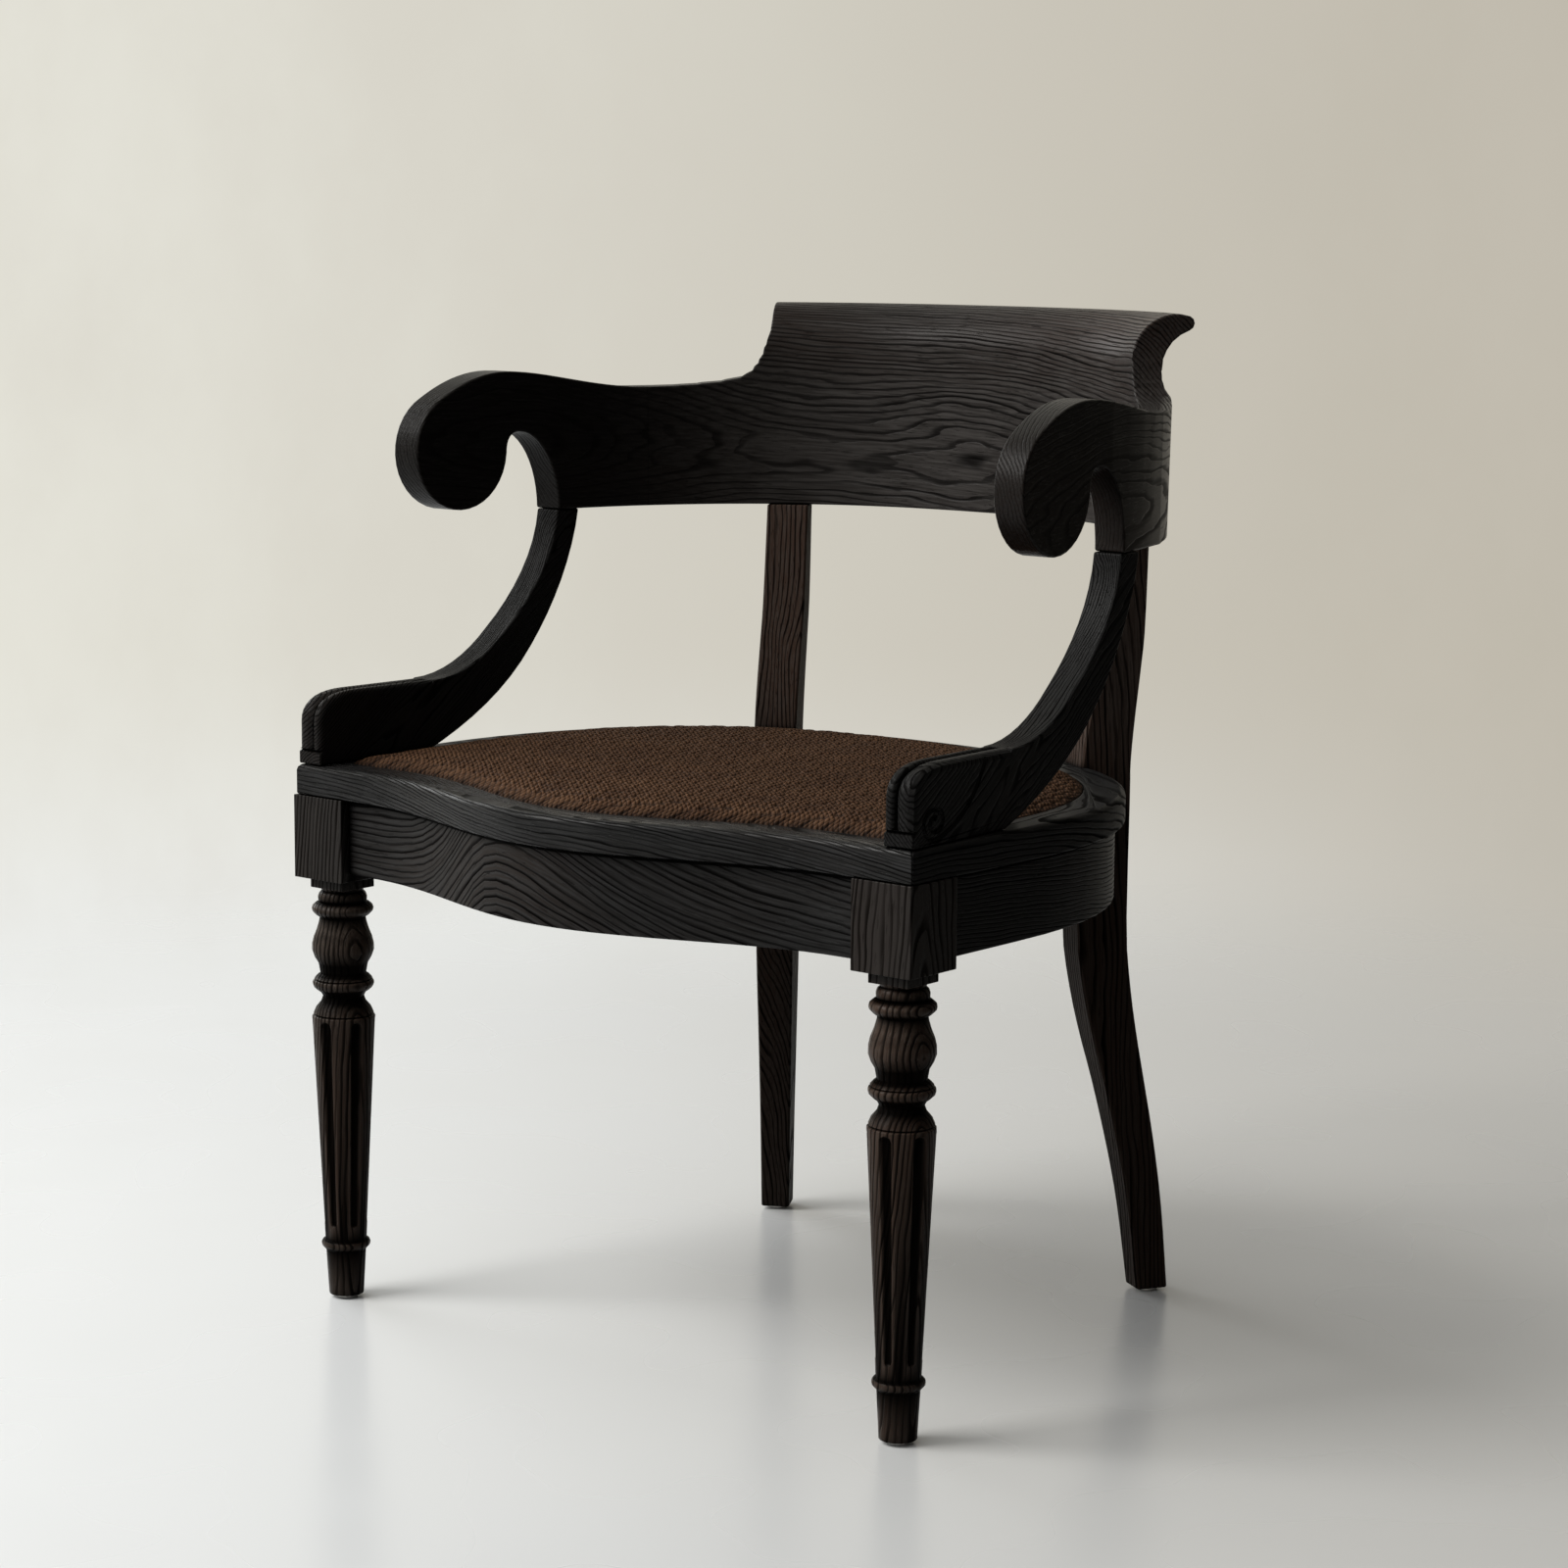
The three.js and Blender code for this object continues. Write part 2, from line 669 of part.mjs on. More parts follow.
function armOutline() {
  const rearY = yokeJointY - fit / 2;
  const hookRightY = hookCentreY + hookRadius * Math.cos(hookStart);
  const hookRightZ = hookCentreZ + hookRadius * Math.sin(hookStart);
  const hookTopY = hookCentreY + hookRadius * Math.cos(hookEnd);
  const hookTopZ = hookCentreZ + hookRadius * Math.sin(hookEnd);
  const rise = armTopHeight - hookTopZ;
  const [browRise, browLean] = armBrowShares.map((share) => share * rise);
  const shape = new THREE.Shape();
  shape.moveTo(rearY, yokeBottom);
  shape.lineTo(armCutoutBackY, yokeBottom);
  curveTo(shape, new THREE.Vector2(hookRightY + cutoutLobe, armCutoutTop), cutoutShares);
  shape.quadraticCurveTo(hookRightY, armCutoutTop, hookRightY, hookRightZ);
  shape.absarc(hookCentreY, hookCentreZ, hookRadius, hookStart, hookEnd - 2 * Math.PI, true);
  shape.bezierCurveTo(
    hookTopY - rise / Math.tan(hookEnd) + browLean, hookTopZ + browRise,
    THREE.MathUtils.lerp(hookTopY, armCrownY, armCrownShare), armTopHeight,
    armCrownY, armTopHeight,
  );
  curveTo(shape, new THREE.Vector2(rearY, shoulderHeight), armFallShares);
  return shape;
}

function arm() {
  const slab = sawn(armOutline(), yokeHalfWidth / 2, seatHalfWidth + yokeThickness + overrun, 12);
  return common(armWall(), slab);
}

// The waste beside the crest: a fan-shaped wedge whose lower edge is the shoulder curve.
const shoulderAngleShares = [0, 0, 0.03, 0.056, 0.096, 0.136, 0.22, 0.38, 0.58, 0.76, 1];
const shoulderDropShares = [-0.3, 0.2, 0.45, 0.54, 0.68, 0.765, 0.868, 0.935, 0.97, 0.99, 1];

function shoulderCutter() {
  const crestTop = crestRollHeight + crestRollRadius;
  const drop = crestTop - shoulderHeight;
  const outline = shoulderAngleShares.map((share, i) => new THREE.Vector2(
    THREE.MathUtils.lerp(crestEndAngle, shoulderEndAngle, share),
    crestTop - drop * shoulderDropShares[i],
  ));
  const farAngles = spread(shoulderEndAngle, Math.PI / 2, 6).slice(1);
  outline.push(...farAngles.map((angle) => new THREE.Vector2(angle, shoulderHeight)));
  const topZ = outline[0].y;
  outline.push(...farAngles.reverse().map((angle) => new THREE.Vector2(angle, topZ)));
  outline.push(new THREE.Vector2(shoulderEndAngle, topZ));
  const reach = [yokeHalfWidth / 2, yokeDepth + yokeHalfWidth];
  const rings = reach.map((radius) => outline.map((p) => new THREE.Vector3(
    radius * Math.sin(p.x), crestFanY + radius * Math.cos(p.x), p.y,
  )));
  return loft(rings, outline);
}

function backPanel() {
  const frontY = yokeJointY + fit / 2;
  const farX = yokeOuterHalfWidth + overrun;
  const before = block(
    new THREE.Vector3(-farX, yokeMouthY, yokeBottom - overrun),
    new THREE.Vector3(farX, frontY, crestRollHeight + crestRollRadius + overrun),
  );
  const shoulder = shoulderCutter();
  const holes = Object.values(mirrorSides).map((side) => sided(stileDowelHole(), side));
  const mortises = Object.values(mirrorSides).map((side) => sided(armTenon(fit), side));
  return cut(backWall(), [before, shoulder, mirrored(shoulder), ...holes, ...mortises]);
}

// A loose tenon in the middle of the wall, square across the joint of arm and back.
const armTenonHalfLength = 20;
const armTenonHeight = 46;
const armTenonThickness = 8;
const armJointAngle = spread(backWallStart, armWallEnd, 400)
  .find((angle) => yokePoint(angle, yokeThickness / 2, yokeBottom).y >= yokeJointY);
const armJoint = { angle: armJointAngle, point: yokePoint(armJointAngle, yokeThickness / 2, yokeBottom) };

function armTenon(play) {
  const normal = yokeNormal(armJoint.angle);
  const middleZ = (yokeBottom + shoulderHeight) / 2;
  return new THREE.BoxGeometry(
    armTenonThickness + 2 * play, 2 * armTenonHalfLength + 2 * play, armTenonHeight + 2 * play,
  ).rotateZ(Math.atan2(normal.y, normal.x)).translate(armJoint.point.x, armJoint.point.y, middleZ);
}

function stileDowelHole() {
  return upright(dowelRadius + fit, yokeBottom - dowelHalfLength - fit, yokeBottom + dowelHalfLength + fit)
    .translate(rearTop.x, rearTop.y, 0);
}

// The arm support and its scroll foot, drawn from the side and turned a little with the arm.
// Its place along x is counted from the outer face, at y of 0.
const supportTopBackY = armCutoutBackY + supportTopWidth;
const scrollTopBackY = supportFrontY + scrollTopLength;
const scrollTopFrontY = supportFrontY + scrollNoseLength;
const supportBottom = seatHeight + fit;
const supportTop = yokeBottom - fit;
const plinthTop = seatHeight + plinthHeight;
const scrollTop = seatHeight + scrollFootHeight;
const heelY = supportFrontY + supportFootLength;

// Both long edges of the support pass a belly point, given by shares (across, up) of the way
// from foot to top. The curves between the points have their handles given the same way.
const frontBellyShares = [0.576, 0.268];
const backBellyShares = [0.679, 0.409];
const heelShares = [[0.4, 0.24], [0.76, 0.55]];
const backRiseShares = [[0.48, 0.28], [0.88, 0.64]];
const frontFallShares = [[0.06, 0.38], [0.48, 0.73]];
const instepShares = [[0.28, 0.6], [0.62, 1]];
const noseShares = [[0.62, 0], [1, 0.28]];
const noseHeightShare = 0.5;

function between(start, end, [across, up]) {
  return new THREE.Vector2(
    THREE.MathUtils.lerp(start.x, end.x, across), THREE.MathUtils.lerp(start.y, end.y, up),
  );
}

const instep = new THREE.Vector2(scrollTopBackY, scrollTop);
const heel = new THREE.Vector2(heelY, supportBottom);
const frontTop = new THREE.Vector2(armCutoutBackY, supportTop);
const backTop = new THREE.Vector2(supportTopBackY, supportTop);
const frontBelly = between(instep, frontTop, frontBellyShares);
const backBelly = between(heel, backTop, backBellyShares);
const noseTop = new THREE.Vector2(scrollTopFrontY, scrollTop);
const nose = new THREE.Vector2(
  supportFrontY, THREE.MathUtils.lerp(plinthTop, scrollTop, noseHeightShare),
);
const scrollNose = new THREE.CubicBezierCurve(
  noseTop, ...noseShares.map((share) => between(noseTop, nose, share)), nose,
);

function supportOutline() {
  const shape = new THREE.Shape();
  shape.moveTo(supportFrontY, supportBottom);
  shape.lineTo(heel.x, heel.y);
  curveTo(shape, backBelly, heelShares);
  curveTo(shape, backTop, backRiseShares);
  shape.lineTo(frontTop.x, frontTop.y);
  curveTo(shape, frontBelly, frontFallShares);
  curveTo(shape, instep, instepShares);
  shape.lineTo(noseTop.x, noseTop.y);
  curveTo(shape, nose, noseShares);
  shape.lineTo(supportFrontY, plinthTop + plinthStep);
  shape.lineTo(supportFrontY + plinthStep, plinthTop + plinthStep / 2);
  shape.lineTo(supportFrontY, plinthTop);
  return shape;
}

function supportSlab() {
  return sawn(supportOutline(), -supportThickness, 0, 8);
}

// Two reeds run up the front of the scroll foot and back along its top, the outer one wider.
// The waste above them is a section of (across, out) carried along the foot's front edge.
const reedShares = [0, 0.38, 1];
const reedPower = 0.85;

function reedWasteSection() {
  const section = [new THREE.Vector2(-supportThickness - overrun, overrun)];
  section.push(new THREE.Vector2(-supportThickness - overrun, -reedDepth));
  for (let reed = 0; reed + 1 < reedShares.length; reed += 1) {
    const inner = THREE.MathUtils.lerp(-supportThickness, 0, reedShares[reed]);
    const outer = THREE.MathUtils.lerp(-supportThickness, 0, reedShares[reed + 1]);
    const half = (outer - inner) / 2;
    section.push(...spread(Math.PI, 0, 6).slice(reed).map((angle) => new THREE.Vector2(
      inner + half + half * Math.cos(angle),
      reedDepth * (Math.sin(angle) ** reedPower - 1) + fit,
    )));
  }
  section.push(new THREE.Vector2(overrun, -reedDepth), new THREE.Vector2(overrun, overrun));
  return section;
}

function reedWaste() {
  const section = reedWasteSection();
  const bend = spread(0, 1, 9).map((t) => scrollNose.getPoint(t));
  const path = [instep, ...bend, new THREE.Vector2(supportFrontY, plinthTop + plinthStep)];
  const rings = path.map((point, i) => {
    const before = path[Math.max(i - 1, 0)];
    const after = path[Math.min(i + 1, path.length - 1)];
    const along = new THREE.Vector2().subVectors(after, before).normalize();
    return section.map((p) => new THREE.Vector3(
      p.x, point.x + along.y * p.y, point.y - along.x * p.y,
    ));
  });
  return loft(rings, section);
}

// The carved line on the outer face: it falls from the instep to a volute.
const voluteCentre = new THREE.Vector2(supportFrontY + voluteInset, seatHeight + voluteRise);
const voluteFoot = voluteCentre.clone().sub(new THREE.Vector2(0, voluteHalfHeight));
const fallStartShare = 0.62;
const fallHandleShares = [[0.16, 0.36], [0.34, 0.82]];
const voluteTurns = 1.6;
const voluteClosingShare = 0.78;

function volutePath() {
  const start = between(noseTop, instep, [fallStartShare, 0]);
  start.y += veinRadius;
  const handles = fallHandleShares.map((share) => between(start, voluteFoot, share));
  const fall = new THREE.CubicBezierCurve(start, ...handles, voluteFoot).getPoints(10);
  const coil = spread(0, 1, 22).slice(1).map((share) => {
    const angle = -Math.PI / 2 - share * voluteTurns * 2 * Math.PI;
    const size = 1 - share * voluteClosingShare;
    return new THREE.Vector2(
      voluteCentre.x + voluteHalfWidth * size * Math.cos(angle),
      voluteCentre.y + voluteHalfHeight * size * Math.sin(angle),
    );
  });
  return [...fall, ...coil];
}

function volutePathCutter() {
  const path = volutePath();
  const section = arcPoints(new THREE.Vector2(), veinRadius, 0, 2 * Math.PI, 6).slice(0, -1);
  const rings = path.map((point, i) => {
    const before = path[Math.max(i - 1, 0)];
    const after = path[Math.min(i + 1, path.length - 1)];
    const along = new THREE.Vector2().subVectors(after, before).normalize();
    return section.map((p) => new THREE.Vector3(
      veinRadius - veinDepth + p.x, point.x - along.y * p.y, point.y + along.x * p.y,
    ));
  });
  return loft(rings, section);
}

const supportDowelY = (supportFrontY + heelY) / 2;
const supportTopDowelY = armCutoutBackY + supportTopWidth / 2;

function supportPlace(geometry) {
  return geometry.rotateZ(supportTurn).translate(supportOuterX, 0, 0);
}

function supportFootHole() {
  return supportPlace(upright(
    dowelRadius + fit, seatHeight - dowelHalfLength - fit, seatHeight + dowelHalfLength + fit,
  ).translate(-supportThickness / 2, supportDowelY, 0));
}

function supportTopHole() {
  return supportPlace(upright(
    dowelRadius + fit, yokeBottom - dowelHalfLength - fit, yokeBottom + dowelHalfLength + fit,
  ).translate(-supportThickness / 2, supportTopDowelY, 0));
}

function armSupport() {
  const carved = cut(supportSlab(), [reedWaste(), volutePathCutter()]);
  return cut(supportPlace(carved), [supportFootHole(), supportTopHole()]);
}

// The woven seat: a closed panel with a steep edge and a broad low crown, over a thin board.
const panelInset = rimWidth + fit;
const panelMiddleY = (frontEdgeY(0) + seatCentreY + seatDepthBehindCentre) / 2;
const panelRings = 9;
const crownPower = 14;

function seatOutlinePoints(inset) {
  const front = spread(-1, 1, frontSteps).map((share) => frontPoint(share, inset));
  const arch = spread(0, Math.PI, 40).map((angle) => seatArchPoint(angle, inset));
  return [...front, ...arch];
}

function wovenSeat() {
  const outline = seatOutlinePoints(panelInset);
  const count = outline.length;
  const bottom = rimBottom + boardThickness + fit;
  const edgeTop = seatHeight - panelEdgeHeight;
  const centre = new THREE.Vector2(0, panelMiddleY);
  const positions = [0, panelMiddleY, bottom, 0, panelMiddleY, edgeTop + panelEdgeHeight + panelCrown];
  const ringAt = (share, z) => outline.forEach((p) => {
    const point = new THREE.Vector2().lerpVectors(centre, p, share);
    positions.push(point.x, point.y, z);
  });
  ringAt(1, bottom);
  for (const share of spread(1, 0, panelRings).slice(0, -1)) {
    const eased = Math.sin((share * Math.PI) / 2);
    ringAt(eased, edgeTop + (panelEdgeHeight + panelCrown) * (1 - eased ** crownPower));
  }
  const faces = [];
  for (let i = 0; i < count; i += 1) {
    const next = (i + 1) % count;
    faces.push(0, 2 + next, 2 + i);
    for (let r = 0; r < panelRings; r += 1) {
      const a = 2 + r * count;
      const b = a + count;
      faces.push(a + i, a + next, b + i, a + next, b + next, b + i);
    }
    const last = 2 + panelRings * count;
    faces.push(last + i, last + next, 1);
  }
  const geometry = new THREE.BufferGeometry();
  geometry.setAttribute('position', new THREE.Float32BufferAttribute(positions, 3));
  geometry.setIndex(faces);
  return cleaned(geometry);
}

function seatBoard() {
  return raised(new THREE.Shape(seatOutlinePoints(panelInset)), rimBottom, rimBottom + boardThickness);
}

// The seat ring.
const rimJointAngle = seatArchAngle(rearLegPlace.x);
const apronJointShare = 0.39;
const apronJointAngle = seatArchAngle(seatHalfWidth * apronJointShare);

function frontApron() {
  const reach = frontLegX - legBlockHalf;
  const stations = spread(-1, 1, 32).map((share) => (inset) => {
    const x = share * reach;
    return new THREE.Vector2(x, frontEdgeY(x) + inset);
  });
  const tenon = frontTenon(0);
  const body = joined([ringBar(stations, apronSection), tenon, mirrored(tenon)]);
  return cut(body, cornerScrewHoles('front'));
}

function sideApron() {
  const stations = sideStations(() => legBlockHalf, apronJointAngle);
  const body = joined([ringBar(stations, apronSection), sideTenon(0)]);
  return cut(body, [rearLegBody(fit), boltHole(), ...cornerScrewHoles('side')]);
}

function rimFront() {
  const foot = supportFootHole();
  return cut(ringBar(frontStations, rimSection), [foot, mirrored(foot)]);
}

function rimSide() {
  const stations = sideStations((inset) => seatFrontY + inset, rimJointAngle);
  return cut(ringBar(stations, rimSection), [rearLegBody(fit), supportFootHole()]);
}

function rimBack() {
  const leg = rearLegBody(fit);
  return cut(ringBar(backStations(rimJointAngle), rimSection), [leg, mirrored(leg)]);
}

function backApron() {
  return ringBar(backStations(apronJointAngle), apronSection);
}

// Corner blocks behind the front legs, each with two screws, one into each apron.
const cornerBlockReach = 48;
const cornerBlockDrop = 6;
const cornerBlockBottom = apronBottom + cornerBlockDrop;
const cornerBlockTop = rimBottom - cornerBlockDrop;
const cornerInnerX = frontLegX - legBlockHalf - fit;
const cornerOuterX = seatHalfWidth - apronInset - apronThickness - fit;
const cornerFrontY = frontEdgeY(cornerInnerX) + apronInset + apronThickness + fit;
const cornerBackY = legBlockHalf + fit;
const screwLength = 34;
const screwInto = 12;

function cornerBlockShape() {
  return new THREE.Shape([
    new THREE.Vector2(cornerInnerX, cornerFrontY),
    new THREE.Vector2(cornerInnerX, cornerBackY),
    new THREE.Vector2(cornerOuterX, cornerBackY),
    new THREE.Vector2(cornerOuterX, cornerBackY + cornerBlockReach),
    new THREE.Vector2(cornerOuterX - fit, cornerBackY + cornerBlockReach),
    new THREE.Vector2(cornerInnerX - cornerBlockReach, cornerFrontY + fit),
    new THREE.Vector2(cornerInnerX - cornerBlockReach, cornerFrontY),
  ]);
}

const headTopShare = 0.8;

// A screw lies along -Y with its head at y of 0, and is turned to point into its apron.
function headedPin(radius, headRadius, headHeight, length, segments = 12) {
  return turnedPin([
    [0, -length], [radius / 2, -length], [radius, 2 * radius - length], [radius, 0],
    [headRadius, 0], [headRadius, headHeight / 2], [headRadius * headTopShare, headHeight],
    [0, headHeight],
  ], segments).rotateX(-Math.PI / 2);
}

function pinHole(radius, headRadius, headHeight, length, segments = 12) {
  return turnedPin([
    [0, -length - fit], [radius + fit, -length - fit], [radius + fit, -fit],
    [headRadius + fit, -fit], [headRadius + fit, headHeight + driverRoom], [0, headHeight + driverRoom],
  ], segments).rotateX(-Math.PI / 2);
}

function cornerBlockAt(share) {
  return THREE.MathUtils.lerp(cornerBlockBottom, cornerBlockTop, share);
}

const frontScrewHeightShare = 0.3;
const sideScrewHeightShare = 0.7;
const screwPlaces = {
  front: {
    point: new THREE.Vector3(
      cornerInnerX - cornerBlockReach / 2, cornerFrontY + screwLength - screwInto,
      cornerBlockAt(frontScrewHeightShare),
    ),
    turn: 0,
  },
  side: {
    point: new THREE.Vector3(
      cornerOuterX - screwLength + screwInto, cornerBackY + cornerBlockReach / 2,
      cornerBlockAt(sideScrewHeightShare),
    ),
    turn: Math.PI / 2,
  },
};

function placedScrew(geometry, key) {
  const { point, turn } = screwPlaces[key];
  return geometry.rotateZ(turn).translate(point.x, point.y, point.z);
}

function cornerScrewHole(key) {
  return placedScrew(pinHole(screwRadius, screwHeadRadius, screwHeadHeight, screwLength), key);
}

function cornerScrewHoles(key) {
  const hole = cornerScrewHole(key);
  return key === 'front' ? [hole, mirrored(hole)] : [hole];
}

function cornerBlock() {
  const body = raised(cornerBlockShape(), cornerBlockBottom, cornerBlockTop);
  return cut(body, [cornerScrewHole('front'), cornerScrewHole('side')]);
}

// Inside each rear leg a block backs the side apron, and one bolt draws leg, apron and block up.
const legBlockLength = 60;
const backingThickness = 22;
const backingFace = -(rearLegDepth / 2) - apronThickness - apronInset;
const boltHeight = (apronBottom + rimBottom) / 2;
const boltInLeg = 24;
const boltLength = -backingFace + backingThickness - rearLegDepth / 2 + boltInLeg;

function placedOnLeg(geometry, distance, z) {
  const place = alongRearLeg(distance);
  return geometry.rotateZ(-rearLegHeading).translate(place.x, place.y, z);
}

function bolt() {
  const pin = headedPin(boltRadius, boltHeadRadius, boltHeadHeight, boltLength);
  return placedOnLeg(pin.rotateZ(Math.PI), backingFace - backingThickness, boltHeight);
}

function boltHole() {
  const hole = pinHole(boltRadius, boltHeadRadius, boltHeadHeight, boltLength);
  return placedOnLeg(hole.rotateZ(Math.PI), backingFace - backingThickness, boltHeight);
}

function backingBlock() {
  const height = cornerBlockTop - cornerBlockBottom;
  const bar = placedOnLeg(
    new THREE.BoxGeometry(legBlockLength, backingThickness + apronThickness, height),
    backingFace - backingThickness / 2 + apronThickness / 2, boltHeight,
  );
  const ring = ringBar(sideStations(() => legBlockHalf, Math.PI / 2), [
    new THREE.Vector2(apronInset - overrun, apronBottom),
    new THREE.Vector2(apronInset - overrun, rimBottom),
    new THREE.Vector2(apronInset + apronThickness + fit, rimBottom),
    new THREE.Vector2(apronInset + apronThickness + fit, apronBottom),
  ]);
  return cut(bar, [ring, boltHole()]);
}

function dowel() {
  const bevel = dowelRadius / 4;
  return turnedPin([
    [0, -dowelHalfLength], [dowelRadius - bevel, -dowelHalfLength], [dowelRadius, bevel - dowelHalfLength],
    [dowelRadius, dowelHalfLength - bevel], [dowelRadius - bevel, dowelHalfLength], [0, dowelHalfLength],
  ], 12);
}

function rearLeg() {
  const glideHole = upright(
    glidePinRadius + fit, glideHeight - overrun, glideHeight + glidePinLength + fit, 8,
  ).translate(rearFoot.x, rearFoot.y, 0);
  return cut(rearLegBody(0), [glideHole, stileDowelHole(), boltHole()]);
}

// Assembly.
function addBackAndArms() {
  addPiece('back_panel', backPanel(), 'wood');
  const armBody = cut(arm(), [supportTopHole(), armTenon(fit)]);
  for (const [name, side] of Object.entries(mirrorSides)) {
    addPiece(`arm_${name}`, sided(armBody, side), 'wood');
    addPiece(`arm_tenon_${name}`, sided(armTenon(0), side), 'hiddenWood');
  }
}

function addDowel(name, x, y, z, side) {
  const mesh = addPiece(name, cleaned(dowel()), 'hiddenWood');
  mesh.position.set(side * x, y, z);
}

function supportPoint(y) {
  const local = new THREE.Vector2(-supportThickness / 2, y).rotateAround(new THREE.Vector2(), supportTurn);
  return new THREE.Vector2(supportOuterX + local.x, local.y);
}

function addSupports() {
  const foot = supportPoint(supportDowelY);
  const top = supportPoint(supportTopDowelY);
  for (const [name, side] of Object.entries(mirrorSides)) {
    addPiece(`arm_support_${name}`, sided(armSupport(), side), 'wood');
    addDowel(`support_foot_dowel_${name}`, foot.x, foot.y, seatHeight, side);
    addDowel(`support_top_dowel_${name}`, top.x, top.y, yokeBottom, side);
  }
}

function addLegs() {
  for (const [name, side] of Object.entries(mirrorSides)) {
    const front = addPiece(`front_leg_${name}`, sided(frontLeg(side), side), 'wood');
    front.position.x = side * frontLegX;
    addPiece(`rear_leg_${name}`, sided(rearLeg(), side), 'wood');
    addDowel(`stile_dowel_${name}`, rearTop.x, rearTop.y, yokeBottom, side);
    addPiece(`front_glide_${name}`, cleaned(glide()), 'steel').position.set(side * frontLegX, 0, 0);
    addPiece(`rear_glide_${name}`, cleaned(glide()), 'steel')
      .position.set(side * rearFoot.x, rearFoot.y, 0);
    addPiece(`rear_leg_bolt_${name}`, sided(bolt(), side), 'steel');
  }
}

function addSeat() {
  addPiece('front_apron', frontApron(), 'wood');
  addPiece('back_apron', backApron(), 'wood');
  addPiece('seat_rim_front', rimFront(), 'wood');
  addPiece('seat_rim_back', rimBack(), 'wood');
  addPiece('woven_seat', wovenSeat(), 'cord');
  addPiece('seat_board', cleaned(seatBoard()), 'hiddenWood');
  for (const [name, side] of Object.entries(mirrorSides)) {
    addPiece(`side_apron_${name}`, sided(sideApron(), side), 'wood');
    addPiece(`seat_rim_${name}`, sided(rimSide(), side), 'wood');
    addPiece(`corner_block_${name}`, sided(cornerBlock(), side), 'hiddenWood');
    addPiece(`rear_leg_block_${name}`, sided(backingBlock(), side), 'hiddenWood');
    for (const key of Object.keys(screwPlaces)) {
      const screw = placedScrew(headedPin(screwRadius, screwHeadRadius, screwHeadHeight, screwLength), key);
      addPiece(`${key}_block_screw_${name}`, sided(screw, side), 'steel');
    }
  }
}

addBackAndArms();
addSupports();
addLegs();
addSeat();

// The origin is on the floor, at the middle of the chair's plan.
const crestBackY = Math.max(...crest.map((p) => yokePoint(Math.PI / 2, p.x, p.y).y));
chair.position.y = -(frontEdgeY(0) + crestBackY) / 2;

export default chair;
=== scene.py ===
"""An armchair in dark stained wood with a woven cord seat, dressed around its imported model."""

import math
from collections import namedtuple

import bmesh
import bpy
import numpy as np
from mathutils import Matrix, Vector
from mathutils.bvhtree import BVHTree


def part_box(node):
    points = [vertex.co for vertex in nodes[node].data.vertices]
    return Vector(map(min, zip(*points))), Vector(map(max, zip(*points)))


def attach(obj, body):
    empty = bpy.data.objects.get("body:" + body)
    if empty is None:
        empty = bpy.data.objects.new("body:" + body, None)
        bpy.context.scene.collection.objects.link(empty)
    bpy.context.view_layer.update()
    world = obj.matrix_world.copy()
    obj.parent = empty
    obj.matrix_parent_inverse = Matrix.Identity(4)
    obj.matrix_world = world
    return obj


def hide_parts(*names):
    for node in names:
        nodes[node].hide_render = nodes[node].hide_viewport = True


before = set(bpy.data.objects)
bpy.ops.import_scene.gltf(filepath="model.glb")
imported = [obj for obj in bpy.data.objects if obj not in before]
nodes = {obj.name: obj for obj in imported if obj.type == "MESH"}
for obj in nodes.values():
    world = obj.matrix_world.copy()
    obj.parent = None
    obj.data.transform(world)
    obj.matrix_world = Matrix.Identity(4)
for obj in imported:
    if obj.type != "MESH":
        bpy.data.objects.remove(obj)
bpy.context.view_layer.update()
scene = bpy.context.scene

# Lengths are in metres. Heights are above the floor, the front faces -Y, and left is -X.
SIDES = {"left": -1, "right": 1}
PLAN_SHIFT = -0.22667        # the plan curves are stated in a frame whose Y starts here
SEAT_HALF_WIDTH = 0.315
SEAT_CENTRE_Y = 0.110        # where the straight sides of the seat begin to curve
SEAT_DEPTH_BEHIND = 0.317
SEAT_POWER = 2.4             # of the curve round the back of the seat
SEAT_HEIGHT = 0.445
RIM_WIDTH = 0.0315
FRONT_Y = -0.0255
FRONT_BOW = 0.0563
FRONT_BOW_SHARE = 0.78       # the share of the front that the bow takes up
YOKE_CENTRE_Y = 0.180        # where the arms begin to curve round the back
YOKE_HALF_WIDTH = 0.285
YOKE_HEIGHT = 0.70
YOKE_JOINT_BEHIND = 0.150    # where an arm meets the back panel
YOKE_JOINT_Y = YOKE_CENTRE_Y + YOKE_JOINT_BEHIND + PLAN_SHIFT
LEG_HEAD = 0.0765            # the square block with its abacus, above the turned part
HEAD_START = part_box("front_leg_left")[1].z - LEG_HEAD
APRON_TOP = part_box("front_apron")[1].z
TOUCHING = 1e-4
JOINT_REACH = 0.001          # how near a joint's plane an edge belongs to the joint

# Where the camera stands and how it is turned.
AZIMUTH = math.radians(39.49)
PITCH = math.radians(8.76)
ROLL = math.radians(0.41)
CAMERA_PLACE = Vector((1.938, -2.3647, 0.903))
FOCAL_PIXELS = 3907
PICTURE_PIXELS = 1600
FOCAL_SHARE = FOCAL_PIXELS / PICTURE_PIXELS
SENSOR = 36.0
LEVEL = (math.cos(AZIMUTH), math.sin(AZIMUTH), 0)


